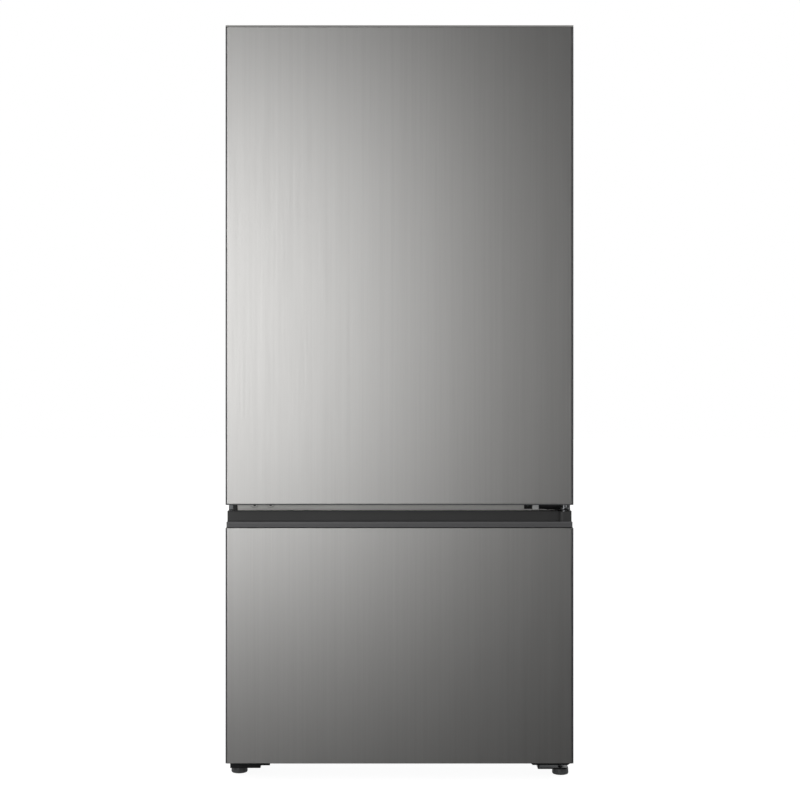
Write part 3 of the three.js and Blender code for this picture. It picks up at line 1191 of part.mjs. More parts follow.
function fridgeDoor() {
  const height = FRIDGE_DOOR_HEIGHT;
  const dyke = {
    half: FRIDGE_DYKE_HALF,
    z: grown([FRIDGE_LOCAL, FRIDGE_CEILING - FRIDGE_DOOR_BOTTOM], -DYKE_END_GAP),
    height: FRIDGE_DYKE_HEIGHT,
  };
  const lidBore = rod('x', LID_PIVOT_RADIUS + PIN_CLEARANCE, LID_PIVOT, both(LID_PIN_END + 1), 16);
  const lugs = Object.values(BINS).flatMap(binLugs);
  const sealed = [GASKET_GAP_INSET, CASE_TOP - FRIDGE_DOOR_BOTTOM - GASKET_END_INSET];
  return group([0, FRONT, FRIDGE_DOOR_BOTTOM],
    piece('fridge_door_skin', doorSkin([0, height]), brushedSteel),
    piece('fridge_door_bottom_cap', fridgeDoorBottomCap(), blackPlastic),
    piece('fridge_door_top_cap', fridgeDoorTopCap(), blackPlastic),
    piece('fridge_door_foam', doorFilling([POCKET_CAP + SEAT_GAP, height - END_CAP - SEAT_GAP]), foam),
    piece('fridge_door_liner', linerPlate(height), whitePlastic),
    piece('fridge_door_rib', cut(join(linerRib(dyke, BIN_BACK), ...lugs), lidBore), whitePlastic),
    piece('fridge_door_gasket', doorGasket(sealed), sealRubber),
    ...Object.entries(BINS).map(([name, bin]) => doorBin(name, bin)),
    piece('dairy_lid', dairyLid(), clearPlastic, [0, ...LID_PIVOT]),
  );
}

const GRIP = { lip: 7, lipHeight: 14, lipCorner: 3, floor: 6, rear: 22, inset: 4, cove: 12, block: 10 };

/** Grip profile along the top of the freezer door: a low front lip, a finger trough and a tall rear wall. */
function gripProfile() {
  const rear = DOOR_REAR - SEAT_GAP;
  const bottom = FREEZER_SKIN_HEIGHT + SEAT_GAP;
  const top = FREEZER_DOOR_HEIGHT;
  const floor = bottom + GRIP.floor;
  const lipTop = bottom + GRIP.lipHeight;
  const lipOutline = rectangle([0, GRIP.lip], [bottom, lipTop], [0, 0, GRIP.lipCorner, GRIP.lipCorner]);
  const lip = prism('x', lipOutline, both(SIDE));
  const base = block(both(SIDE), [0, rear], [bottom, floor]);
  const wallFace = DOOR_DEPTH - GRIP.rear;
  const wall = block(both(SIDE - GRIP.inset), [wallFace, rear], [bottom, top]);
  const steps = 5;
  const curve = Array.from({ length: steps + 1 }, (_, step) => {
    const angle = (step / steps) * (Math.PI / 2);
    return [wallFace - GRIP.cove * (1 - Math.sin(angle)), floor + GRIP.cove * (1 - Math.cos(angle))];
  });
  const inWall = wallFace + FOIL;
  const buried = [[inWall, floor + GRIP.cove], [inWall, floor - FOIL], [wallFace - GRIP.cove, floor - FOIL]];
  const cove = prism('x', [...curve, ...buried], both(SIDE - GRIP.inset));
  const hingeBlock = block(
    [DOOR_HINGE[0] - ARM_HALF, SIDE - GRIP.inset],
    [HINGE_INSET_FRONT - GRIP.block, rear],
    [bottom, top],
  );
  const bore = pinHole(top - PIN_POCKET, top + FOIL);
  return cut(join(lip, base, wall, cove, hingeBlock), bore);
}

function freezerDoor() {
  const height = FREEZER_DOOR_HEIGHT;
  const dyke = {
    half: FREEZER_DYKE_HALF,
    z: grown([FREEZER_FLOOR - FLOOR_CLEARANCE, FREEZER_CEILING - FLOOR_CLEARANCE], -DYKE_END_GAP),
    height: FREEZER_DYKE_HEIGHT,
  };
  const bottomCap = cut(doorFilling([0, END_CAP]), pinHole(-FOIL, PIN_POCKET));
  const sealed = [GASKET_END_INSET, height - GASKET_GAP_INSET];
  return group([0, FRONT, FLOOR_CLEARANCE],
    piece('freezer_door_skin', doorSkin([0, FREEZER_SKIN_HEIGHT]), brushedSteel),
    piece('freezer_door_grip', gripProfile(), darkPlastic),
    piece('freezer_door_bottom_cap', bottomCap, blackPlastic),
    piece('freezer_door_foam', doorFilling([END_CAP + SEAT_GAP, FREEZER_SKIN_HEIGHT]), foam),
    piece('freezer_door_liner', join(linerPlate(height), linerRib(dyke, DOOR_DEPTH - FOIL)), whitePlastic),
    piece('freezer_door_gasket', doorGasket(sealed), sealRubber),
  );
}

// ------------------------------------------------------------------ the whole

function cabinet() {
  return group([0, 0, 0],
    piece('outer_case', outerCase(), casePaint),
    piece('rear_panel', rearPanel(), zincSteel),
    piece('base_plate', basePlate(), zincSteel),
    piece('foam_body', foamBody(), foam),
    piece('fridge_liner', fridgeLiner(), whitePlastic),
    piece('freezer_liner', freezerLiner(), whitePlastic),
    piece('mullion_rail', mullionRail(), railPaint),
    piece('middle_hinge', middleHinge(), blackPaint),
    piece('top_hinge', topHinge(), blackPaint),
    piece('top_hinge_cover', topHingeCover(), blackPlastic),
    piece('bottom_hinge', bottomHinge(), blackPaint),
    piece('left_foot_bracket', leftFootBracket(), blackPaint),
    piece('front_foot_left', foot(), blackPlastic, [...LEFT_FOOT, 0]),
    piece('front_foot_right', foot(), blackPlastic, [...RIGHT_FOOT, 0]),
  );
}

function machineCompartment() {
  const fanShape = fan(CONDENSER_FAN_RADIUS, FAN_HUB, CONDENSER_HUB_LENGTH, CONDENSER_BLADE_THICKNESS);
  const condenserFan = piece('condenser_fan', fanShape, blackPlastic,
    [CONDENSER_FAN_X, MACHINE_MIDDLE, CONDENSER_FAN_Z]);
  condenserFan.rotation.y = Math.PI / 2;
  const compressorPlace = [COMPRESSOR_X, MACHINE_MIDDLE, COMPRESSOR_BASE];
  return group([0, 0, 0],
    piece('compressor_tray', compressorTray(), zincSteel),
    piece('rear_roller_left', rearRoller(), rollerPlastic, [-SIDE + ROLLER_INSET, ROLLER_Y, ROLLER_RADIUS]),
    piece('rear_roller_right', rearRoller(), rollerPlastic, [SIDE - ROLLER_INSET, ROLLER_Y, ROLLER_RADIUS]),
    piece('compressor', compressor(), compressorPaint, compressorPlace),
    piece('condenser', condenser(), blackPaint, [CONDENSER_X, MACHINE_MIDDLE, TRAY_TOP + SEAT_GAP]),
    piece('condenser_fan_motor', condenserFanMotor(), blackPlastic),
    condenserFan,
    piece('drip_tray', dripTray(), blackPlastic),
    piece('machine_cover', machineCover(), blackPaint),
  );
}

function freezerInterior() {
  const fanShape = fan(EVAPORATOR_FAN_RADIUS, FREEZER_FAN_HUB, FREEZER_HUB_LENGTH, FREEZER_BLADE_THICKNESS);
  const fanPlace = [0, BOSS_FACE + FAN_FACE_GAP, FREEZER_FAN_Z];
  const evaporatorFan = piece('evaporator_fan', fanShape, greyPlastic, fanPlace);
  evaporatorFan.rotation.x = -Math.PI / 2;
  const coilY = INNER_BACK - SEAT_GAP - EVAPORATOR.depth / 2;
  return group([0, 0, 0],
    piece('freezer_duct_cover', freezerDuctCover(), whitePlastic),
    piece('evaporator', evaporator(), finAluminium, [0, coilY, STEP_TOP + SEAT_GAP]),
    evaporatorFan,
    ...Object.entries(FREEZER_DRAWERS).map(([name, size]) => freezerDrawer(name, size)),
  );
}

function fridgeInterior() {
  return group([0, 0, 0],
    piece('fridge_air_duct', fridgeAirDuct(), whitePlastic),
    piece('control_box', controlBox(), whitePlastic),
    piece('temperature_dial', temperatureDial(), greyPlastic, [DIAL_PLACE[0], CONTROL_FACE, DIAL_PLACE[1]]),
    ...Object.entries(SHELF_RISES).flatMap(([name, rise]) => shelf(name, rise)),
    ...shelf('crisper_cover', CRISPER_COVER_RISE),
    crisper('crisper_left', -1),
    crisper('crisper_right', 1),
    chillDrawer(),
  );
}

const refrigerator = new THREE.Group();
refrigerator.add(
  cabinet(),
  machineCompartment(),
  freezerInterior(),
  fridgeInterior(),
  fridgeDoor(),
  freezerDoor(),
);

export default refrigerator;
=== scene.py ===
# %% [markdown]
# # A bottom freezer refrigerator
#
# The refrigerator has two brushed steel doors, both hinged on the right, and a dark grip along the top of the
# lower door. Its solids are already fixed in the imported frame. This lesson dresses them: the doors, rails,
# hinges, liners, drawers and shelves are modelled again with soft edges, and every surface gets its finish.

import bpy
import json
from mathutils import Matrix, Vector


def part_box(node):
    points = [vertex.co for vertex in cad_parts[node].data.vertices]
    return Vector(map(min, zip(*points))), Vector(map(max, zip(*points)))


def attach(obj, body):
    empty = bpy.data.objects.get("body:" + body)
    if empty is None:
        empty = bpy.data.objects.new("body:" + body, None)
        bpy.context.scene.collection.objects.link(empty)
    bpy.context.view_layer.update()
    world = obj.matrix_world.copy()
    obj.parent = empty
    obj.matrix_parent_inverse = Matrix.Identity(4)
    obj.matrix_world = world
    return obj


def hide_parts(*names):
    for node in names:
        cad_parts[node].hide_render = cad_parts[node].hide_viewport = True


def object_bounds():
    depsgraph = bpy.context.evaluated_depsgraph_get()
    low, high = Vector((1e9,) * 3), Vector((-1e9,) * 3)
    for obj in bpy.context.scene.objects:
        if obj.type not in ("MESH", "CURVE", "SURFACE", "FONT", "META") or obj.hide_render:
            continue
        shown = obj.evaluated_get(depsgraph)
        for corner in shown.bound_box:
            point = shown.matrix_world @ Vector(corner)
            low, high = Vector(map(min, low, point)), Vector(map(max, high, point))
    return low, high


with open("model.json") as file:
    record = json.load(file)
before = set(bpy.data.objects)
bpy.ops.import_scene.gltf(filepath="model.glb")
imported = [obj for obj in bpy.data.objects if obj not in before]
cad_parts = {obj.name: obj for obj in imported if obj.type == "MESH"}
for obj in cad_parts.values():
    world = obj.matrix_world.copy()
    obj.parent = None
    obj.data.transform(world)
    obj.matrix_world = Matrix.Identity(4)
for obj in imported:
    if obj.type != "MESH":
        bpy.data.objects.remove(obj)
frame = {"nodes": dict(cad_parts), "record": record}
CAD_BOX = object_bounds()

# %% Tools of the trade
import json
import math

import bmesh
import bpy
from mathutils import Vector

MM = 0.001
print("The object is", [round(x / MM) for x in CAD_BOX[1] - CAD_BOX[0]], "mm")

# %% [markdown]
# ## Camera
#
# The picture was taken straight on, from about three and a half metres, with the lens at half the cabinet's
# height. At the door faces the picture is 1.8155 m wide, 2.27 mm per picture point, and that gives the lens.

# %% Camera
DOOR_FACE = CAD_BOX[0].y
CAMERA_DISTANCE = 3.5
CAMERA_HEIGHT = 0.8693
CAMERA_ASIDE = 0.0011
PICTURE_WIDTH = 1.8155
SENSOR_WIDTH = 36  # millimetres

lens = bpy.data.cameras.new("studio_camera")
lens.sensor_width = SENSOR_WIDTH
lens.lens = SENSOR_WIDTH * CAMERA_DISTANCE / PICTURE_WIDTH
camera = bpy.data.objects.new("studio_camera", lens)
camera.location = (CAMERA_ASIDE, DOOR_FACE - CAMERA_DISTANCE, CAMERA_HEIGHT)
camera.rotation_euler = (math.radians(90), 0, 0)
bpy.context.scene.collection.objects.link(camera)
bpy.context.scene.camera = camera
bpy.context.scene.view_settings.view_transform = "Standard"
print("Lens of", round(lens.lens, 1), "mm")

# %% [markdown]
# ## Nodes
#
# Every finish is a small tree of shader nodes. One function sets or links a node's inputs, and one adds a node
# with its settings. Colours are written as on a paint chart, in sRGB, and turned into the linear values that
# Blender calculates with.

# %% One way to add a node, and one to read a colour
def feed(tree, node, inputs):
    """Gives a node's inputs a value, or links them to another node's first output, or to a named output."""
    for name, value in inputs.items():
        if isinstance(value, bpy.types.Node):
            value = next(output for output in value.outputs if output.enabled)
        if isinstance(value, bpy.types.NodeSocket):
            tree.links.new(value, node.inputs[name])
        else:
            node.inputs[name].default_value = value


def add_node(tree, kind, inputs=None, **settings):
    """Adds one shader node with its settings and inputs."""
    node = tree.nodes.new("ShaderNode" + kind)
    for name, value in settings.items():
        setattr(node, name, value)
    feed(tree, node, inputs or {})
    return node


def linear(chart):
    """A colour such as "b4b3b0" as linear red, green, blue and alpha."""
    parts = [int(chart[i:i + 2], 16) / 255 for i in (0, 2, 4)]
    return (*(p / 12.92 if p <= 0.04045 else ((p + 0.055) / 1.055) ** 2.4 for p in parts), 1.0)


print("Mid grey is", round(linear("808080")[0], 3), "in linear light")

# %% [markdown]
# ## Studio
#
# The studio is white behind the refrigerator and unlit behind the camera, so that the steel mirrors one large
# soft box on the left and darkness on the right. The world does this with Light Path: the camera and clear
# pieces see plain white, glossy surfaces see a dark front and a bright back and ceiling, and everything else is
# lit at an even level. A weaker strip at the front right gives the doors' right edges their thin bright line.

# %% World
AMBIENT = 0.72
UNLIT = 0.0
LIFT_SHARE = 0.6  # how much height counts beside facing the back
WHITE_RANGE = (0.1, 0.6)  # between these, mirrors turn from unlit to white
STRIP = 0.2
STRIP_START = (math.radians(132), math.radians(122))  # counted from straight back, round by the right
STRIP_END = (math.radians(100), math.radians(92))

world = bpy.data.worlds.new("studio")
world.use_nodes = True
bpy.context.scene.world = world
tree = world.node_tree
tree.nodes.clear()
towards = add_node(tree, "SeparateXYZ", {0: add_node(tree, "TexCoord").outputs["Generated"]})
height = add_node(tree, "Math", {0: towards.outputs["Z"]}, operation="ABSOLUTE")
across = add_node(tree, "Math", {0: towards.outputs["X"]}, operation="ABSOLUTE")
lift = add_node(tree, "Math", {0: height, 1: across}, operation="SUBTRACT")
behind = add_node(tree, "Math", {0: lift, 1: LIFT_SHARE, 2: towards.outputs["Y"]}, operation="MULTIPLY_ADD")
bright = add_node(tree, "MapRange", {0: behind, 1: WHITE_RANGE[0], 2: WHITE_RANGE[1], 3: UNLIT, 4: 1.0},
                  interpolation_type="SMOOTHSTEP")
azimuth = add_node(tree, "Math", {0: towards.outputs["X"], 1: towards.outputs["Y"]}, operation="ARCTAN2")
rise = add_node(tree, "MapRange", {0: azimuth, 1: STRIP_START[0], 2: STRIP_START[1], 3: 0.0, 4: STRIP},
                interpolation_type="SMOOTHSTEP")
fall = add_node(tree, "MapRange", {0: azimuth, 1: STRIP_END[0], 2: STRIP_END[1], 3: 1.0, 4: 0.0},
                interpolation_type="SMOOTHSTEP")
strip = add_node(tree, "Math", {0: rise, 1: fall}, operation="MULTIPLY")
mirrored = add_node(tree, "Math", {0: bright, 1: strip}, operation="MAXIMUM")
path = add_node(tree, "LightPath")
seen = add_node(tree, "Math", {0: path.outputs["Is Camera Ray"], 1: path.outputs["Is Transmission Ray"]},
                operation="MAXIMUM")
soft = add_node(tree, "Mix", {"Factor": path.outputs["Is Glossy Ray"], "A": AMBIENT, "B": mirrored})
level = add_node(tree, "Mix", {"Factor": seen, "A": soft, "B": 1.0})
background = add_node(tree, "Background", {"Color": (1, 1, 1, 1), "Strength": level})
add_node(tree, "OutputWorld", {"Surface": background})
print("World level", AMBIENT)

# %% Key light
KEY_RADIANCE = 1.87
KEY_SIZE = (2.5, 2.06)
KEY_HEIGHT = 1.212
KEY_PLACE = Vector((-1.243, -3.047, KEY_HEIGHT))
KEY_AIM = Vector((0.0, DOOR_FACE, KEY_HEIGHT))

key = bpy.data.lights.new("soft_box", "AREA")
key.shape = "RECTANGLE"
key.size, key.size_y = KEY_SIZE
key.energy = KEY_RADIANCE * math.pi * KEY_SIZE[0] * KEY_SIZE[1]
soft_box = bpy.data.objects.new("soft_box", key)
soft_box.location = KEY_PLACE
soft_box.rotation_euler = (KEY_AIM - KEY_PLACE).to_track_quat("-Z", "Y").to_euler()
soft_box.visible_camera = False
bpy.context.scene.collection.objects.link(soft_box)
print("Soft box of", round(key.energy, 1), "W")

# %% [markdown]
# ## Floor
#
# The floor is a large pale sheet. To the camera, to mirrors and through clear pieces it shines almost white, which
# hides its edge against the white world. The rest of its brightness is real light on a matt surface, so a faint
# contact shadow stays. In front of the doors, mirrors see the floor unlit, because the steel in the picture
# darkens towards the floor.

# %% Floor
FLOOR_SIZE = 60
FLOOR_GLOW = 0.93
FLOOR_FADE = 0.3  # metres behind the door faces over which mirrors see the floor turn white

bpy.ops.object.select_all(action="DESELECT")
bpy.ops.mesh.primitive_plane_add(size=FLOOR_SIZE)
floor = bpy.context.object
floor.name = "studio_floor"
paper = bpy.data.materials.new("studio_paper")
paper.use_nodes = True
tree = paper.node_tree
tree.nodes.clear()
path = add_node(tree, "LightPath")
seen = add_node(tree, "Math", {0: path.outputs["Is Camera Ray"], 1: path.outputs["Is Transmission Ray"]},
                operation="MAXIMUM")
seen = add_node(tree, "Math", {0: seen, 1: path.outputs["Is Glossy Ray"]}, operation="MAXIMUM")
glow = add_node(tree, "Math", {0: seen, 1: FLOOR_GLOW}, operation="MULTIPLY")
shine = add_node(tree, "Emission", {"Color": (1, 1, 1, 1), "Strength": glow})
matt = add_node(tree, "BsdfDiffuse", {"Color": linear("8c8c8c")})
lit = add_node(tree, "AddShader", {0: shine, 1: matt})
unlit = add_node(tree, "Emission", {"Color": (1, 1, 1, 1), "Strength": UNLIT})
spot = add_node(tree, "SeparateXYZ", {0: add_node(tree, "TexCoord").outputs["Object"]})
front = add_node(tree, "MapRange", {0: spot.outputs["Y"], 1: DOOR_FACE + FLOOR_FADE, 2: DOOR_FACE},
                 interpolation_type="SMOOTHSTEP")
dark = add_node(tree, "Math", {0: front, 1: path.outputs["Is Glossy Ray"]}, operation="MULTIPLY")
paper_shader = add_node(tree, "MixShader", {0: dark, 1: lit, 2: unlit})
add_node(tree, "OutputMaterial", {"Surface": paper_shader})
floor.data.materials.append(paper)
print("Floor of", FLOOR_SIZE, "m")

# %% [markdown]
# ## Finishes
#
# Every finish here starts from the Principled shader: a colour, a roughness and, for metal, metallic at one. A
# real surface is never quite even, so each gets a pattern at its true size. Two kinds of pattern serve many
# pieces: the fine dimples of moulded plastic and paint, and the long scratches of brushed metal.

# %% A finish and its fine dimples
FINISHES = {}
MOST = (0.3, 0.7)  # nearly all of a noise's values lie between these
DRIFT = 180 * MM


def new_finish(name, chart, roughness, **sockets):
    """A Principled material, kept by name. Values that don't vary sit on the shader's own sockets."""
    material = bpy.data.materials.new(name)
    material.use_nodes = True
    shader = material.node_tree.nodes["Principled BSDF"]
    shader.inputs["Base Color"].default_value = linear(chart)
    shader.inputs["Roughness"].default_value = roughness
    for socket, value in sockets.items():
        shader.inputs[socket.replace("_", " ")].default_value = value
    FINISHES[name] = material
    return material.node_tree, shader


def coated(name, chart, shade, roughness, grit, depth, sheen=0.03, **sockets):
    """Dimples of that grit and depth in millimetres, a shade that drifts over the piece, and an uneven sheen."""
    tree, shader = new_finish(name, chart, roughness, **sockets)
    place = add_node(tree, "TexCoord").outputs["Object"]
    fine = add_node(tree, "TexNoise", {"Vector": place, "Scale": 1 / (grit * MM), "Detail": 2.0})
    broad = add_node(tree, "TexNoise", {"Vector": place, "Scale": 1 / DRIFT, "Detail": 3.0})
    tint = add_node(tree, "Mix", {"Factor": broad, "A": linear(chart), "B": linear(shade)}, data_type="RGBA")
    gloss = add_node(tree, "MapRange", {0: broad, 1: MOST[0], 2: MOST[1],
                                        3: roughness - sheen, 4: roughness + sheen})
    bump = add_node(tree, "Bump", {"Height": fine, "Strength": 0.6, "Distance": depth * MM})
    feed(tree, shader, {"Base Color": tint, "Roughness": gloss, "Normal": bump})


print("Dimples start at about a millimetre, the finest that shows in the picture")

# %% [markdown]
# ### Brushed stainless steel
#
# The doors are thin stainless sheet, brushed upright with a fine belt and left bare. The scratches spread
# reflections into a soft sheen without hiding that it is metal. The noise is stretched along Z, about 0.8 mm
# across and 150 mm long, which is coarser than a real belt's scratches so that it shows at all. Rolled
# aluminium, a chromed screw and zinc-plated pins get the same kind of finish, each with its own scratches.

# %% Brushed steel
STREAK_SPREAD = 9  # streaks are this many times wider and longer than the scratches
STREAK_SHARE = 0.45
SCRATCH_SHEEN = 0.03
SCRATCH_DEPTH = 0.01 * MM


def brushed(name, chart, shade, roughness, scratch, length, axis):
    """Bare metal with scratches of that width and length in millimetres, along one axis."""
    tree, shader = new_finish(name, chart, roughness, Metallic=1.0)
    scale = [1 / (scratch * MM)] * 3
    scale["XYZ".index(axis)] = 1 / (length * MM)
    place = add_node(tree, "TexCoord").outputs["Object"]
    along = add_node(tree, "Mapping", {"Vector": place, "Scale": scale})
    fine = add_node(tree, "TexNoise", {"Vector": along, "Scale": 1.0, "Detail": 3.0})
    wide = add_node(tree, "Mapping", {"Vector": place, "Scale": [s / STREAK_SPREAD for s in scale]})
    streak = add_node(tree, "TexNoise", {"Vector": wide, "Scale": 1.0, "Detail": 2.0})
    mixed = add_node(tree, "Mix", {"Factor": STREAK_SHARE, "A": fine, "B": streak})
    tint = add_node(tree, "Mix", {"Factor": mixed, "A": linear(shade), "B": linear(chart)}, data_type="RGBA")
    gloss = add_node(tree, "MapRange", {0: fine, 1: MOST[0], 2: MOST[1],
                                        3: roughness - SCRATCH_SHEEN, 4: roughness + SCRATCH_SHEEN})
    bump = add_node(tree, "Bump", {"Height": fine, "Strength": 0.25, "Distance": SCRATCH_DEPTH})
    feed(tree, shader, {"Base Color": tint, "Roughness": gloss, "Normal": bump})


brushed("brushed_steel", "e3e2e0", "d0cfcd", 0.42, 0.8, 150, "Z")
brushed("rolled_aluminium", "c4c6c9", "b4b6ba", 0.38, 0.6, 60, "X")
brushed("turned_chrome", "e3e4e6", "dadbde", 0.16, 0.4, 20, "Z")
brushed("zinc_plate", "b9bbbd", "aeb0b3", 0.34, 0.5, 12, "X")
print("Metals:", ", ".join(FINISHES))

# %% [markdown]
# ### Painted, coated and galvanised sheet
#
# The cabinet is folded steel with a baked powder coat in dark grey, whose orange-peel dimples are 1 to 2 mm
# across. The rail of the cabinet between the doors is painted silver. Hinges and brackets have a thin black
# electrocoat, and the back and the compressor's tray are galvanised, with the frosty crystals of hot-dip zinc.

# %% Coated sheet
coated("powder_coat", "4a4b4e", "454649", 0.48, 1.6, 0.06)
coated("case_coat", "6d6e70", "67686a", 0.48, 1.6, 0.06)
coated("silver_paint", "f8f7f3", "f2f1ed", 0.45, 1.1, 0.01, Metallic=0.3)
coated("electrocoat", "212223", "1b1c1d", 0.42, 1.2, 0.02, Coat_Weight=0.2)
coated("enamel", "1b1c1e", "161719", 0.28, 2.0, 0.03, Coat_Weight=0.5)

CRYSTAL = 9 * MM
tree, shader = new_finish("galvanised_steel", "a6aaac", 0.42, Metallic=0.7)
place = add_node(tree, "TexCoord").outputs["Object"]
crystals = add_node(tree, "TexVoronoi", {"Vector": place, "Scale": 1 / CRYSTAL})
grey = add_node(tree, "SeparateColor", {0: crystals.outputs["Color"]})
frost = add_node(tree, "Mix", {"Factor": grey, "A": linear("9da1a4"), "B": linear("aeb1b3")}, data_type="RGBA")
gloss = add_node(tree, "MapRange", {0: grey.outputs[1], 3: 0.3, 4: 0.5})
feed(tree, shader, {"Base Color": frost, "Roughness": gloss})
print("Coated sheet:", ", ".join(FINISHES))

# %% [markdown]
# ### Moulded plastics
#
# Caps and covers are black ABS, liners are white vacuum-formed polystyrene with a soft gloss, and the control box
# is light grey. The grip's lip is a satin anodised extrusion, so it has faint lines along its length.

# %% Plastics, foam and the anodised lip
coated("black_abs", "242526", "1e1f20", 0.46, 0.9, 0.03)
coated("white_polystyrene", "f1f2f1", "eeefee", 0.32, 2.4, 0.01, sheen=0.008, Coat_Weight=0.1)
coated("grey_abs", "c3c6c8", "bcbfc1", 0.4, 1.0, 0.03)
coated("cap_grey_abs", "a2a19e", "9c9b98", 0.45, 1.0, 0.02)
# The grip's wall and bush: a dark grey that is partly their own colour and partly painted shade of the recess under
# the upper door.
coated("recess_shaded_abs", "404040", "3a3a3a", 0.5, 1.0, 0.02)
coated("foot_nylon", "5c5d5e", "545556", 0.34, 1.0, 0.02)
coated("nylon", "8b8e90", "838688", 0.5, 0.9, 0.02)
coated("polyurethane_foam", "dcc890", "cdb67a", 0.9, 2.2, 0.5)
coated("gasket_vinyl", "5a5b5f", "525357", 0.62, 1.0, 0.01)

LINE_LENGTH = 400 * MM
LINE_WIDTH = 1.6 * MM
tree, shader = new_finish("grip_anodised", "585858", 0.42)
place = add_node(tree, "TexCoord").outputs["Object"]
upright = 1 / LINE_WIDTH
drawn_lines = add_node(tree, "Mapping", {"Vector": place, "Scale": (1 / LINE_LENGTH, upright, upright)})
lines = add_node(tree, "TexNoise", {"Vector": drawn_lines, "Scale": 1.0, "Detail": 2.0})
tint = add_node(tree, "Mix", {"Factor": lines, "A": linear("525253"), "B": linear("606061")}, data_type="RGBA")
bump = add_node(tree, "Bump", {"Height": lines, "Strength": 0.4, "Distance": 0.02 * MM})
feed(tree, shader, {"Base Color": tint, "Normal": bump})
print("Plastics:", ", ".join(FINISHES))

# %% [markdown]
# ### Clear drawers and safety glass
#
# Drawers and bins are moulded from clear SAN, about 2.5 mm thick, and shelves are toughened glass. Seen square on
# they let nearly everything through, and along a wall they look milky or green, because the eye looks through
# more material. Alpha that follows Layer Weight's Facing shows just that, and lets light fall through to the
# shelves below, where a full glass shader would cast black shadows inside the cabinet.

# %% Clear finishes
FLOW = 60 * MM  # how wide the flow marks of moulding are


def clear(name, chart, roughness, face, edge):
    """A clear wall: face and edge are how solid it looks square on and along the surface."""
    tree, shader = new_finish(name, chart, roughness, IOR=1.57)
    view = add_node(tree, "LayerWeight", {"Blend": 0.35})
    solid = add_node(tree, "MapRange", {0: view.outputs["Facing"], 3: face, 4: edge})
    place = add_node(tree, "TexCoord").outputs["Object"]
    flow = add_node(tree, "TexNoise", {"Vector": place, "Scale": 1 / FLOW, "Detail": 2.0})
    gloss = add_node(tree, "MapRange", {0: flow, 3: roughness * 0.8, 4: roughness * 1.3})
    feed(tree, shader, {"Alpha": solid, "Roughness": gloss})


clear("clear_san", "e9eff0", 0.09, 0.13, 0.66)
clear("safety_glass", "cfe3db", 0.04, 0.14, 0.8)
clear("frosted_lens", "f7f8f4", 0.4, 0.75, 0.95)
print(len(FINISHES), "finishes")

# %% [markdown]
# ## Dressing the solids
#
# The record says which material each solid is made of. Solids that stay as they are get their finish here, and
# the others are replaced further down.

# %% Finishes for the record's materials
FINISH_OF_SLOT = {
    "brushed_steel": "brushed_steel",
    "case_paint": "powder_coat",
    "rail_paint": "silver_paint",
    "black_paint": "electrocoat",
    "zinc_steel": "galvanised_steel",
    "dark_plastic": "grip_anodised",
    "black_plastic": "black_abs",
    "white_plastic": "white_polystyrene",
    "grey_plastic": "grey_abs",
    "clear_plastic": "clear_san",
    "safety_glass": "safety_glass",
    "seal_rubber": "gasket_vinyl",
    "insulation_foam": "polyurethane_foam",
    "compressor_paint": "enamel",
    "fin_aluminium": "rolled_aluminium",
    "roller_plastic": "nylon",
}
SLOT_OF_NODE = {part["node"]: part["material_slot"] for part in frame["record"]["subparts"]}
BODY_OF_NODE = {node: body for body, nodes in frame["record"]["behaviour"]["bodies"].items() for node in nodes}

for node, solid in frame["nodes"].items():
    finish = FINISHES[FINISH_OF_SLOT[SLOT_OF_NODE[node]]]
    for place in solid.material_slots:
        place.material = finish
print(len(SLOT_OF_NODE), "solids have a finish")

# %% [markdown]
# ## Ways of working
#
# Pieces are modelled with the same operators as at the desk. An operator acts on all that is selected, so each
# helper deselects everything first. A piece starts as a box or a drawn outline, is shaped in edit mode, and
# ends with rounded edges. Weighted normals keep its flat faces flat where a rounded edge meets them.

# %% Start a piece
def deselect():
    bpy.ops.object.select_all(action="DESELECT")


def named(name):
    piece = bpy.context.object
    piece.name = piece.data.name = name
    return piece


def slab(name, low, high):
    """A box from its lowest to its highest corner, with its place in its mesh."""
    low, high = Vector(low), Vector(high)
    deselect()
    bpy.ops.mesh.primitive_cube_add(size=1, location=(low + high) / 2)
    bpy.context.object.scale = high - low
    bpy.ops.object.transform_apply()
    return named(name)


def alone(piece):
    deselect()
    piece.select_set(True)
    bpy.context.view_layer.objects.active = piece


def pick(piece, kind, test):
    """Opens the piece in edit mode and selects its faces, edges or vertices that pass the test."""
    alone(piece)
    bpy.ops.object.mode_set(mode="EDIT")
    bpy.ops.mesh.select_mode(type=kind)
    bpy.ops.mesh.select_all(action="DESELECT")
    shape = bmesh.from_edit_mesh(piece.data)
    parts = {"VERT": shape.verts, "EDGE": shape.edges, "FACE": shape.faces}[kind]
    for part in parts:
        if test(part):
            part.select_set(True)
    bmesh.update_edit_mesh(piece.data)


def done():
    bpy.ops.object.mode_set(mode="OBJECT")


def edges_along(axis, *limits):
    """A test for straight edges along an axis, within limits such as ("Y", -0.4, -0.3)."""
    def test(edge):
        first, second = (v.co for v in edge.verts)
        step = second - first
        middle = (first + second) / 2
        if abs(step["XYZ".index(axis)]) < 0.999 * step.length:
            return False
        return all(low <= middle["XYZ".index(way)] <= high for way, low, high in limits)
    return test


def bevelled(piece, test, radius, segments, **settings):
    """Rounds only the edges that pass the test."""
    pick(piece, "EDGE", test)
    bpy.ops.mesh.bevel(offset=radius, segments=segments, affect="EDGES", **settings)
    done()
    return piece


print("A piece can be started, opened, picked from and bevelled")

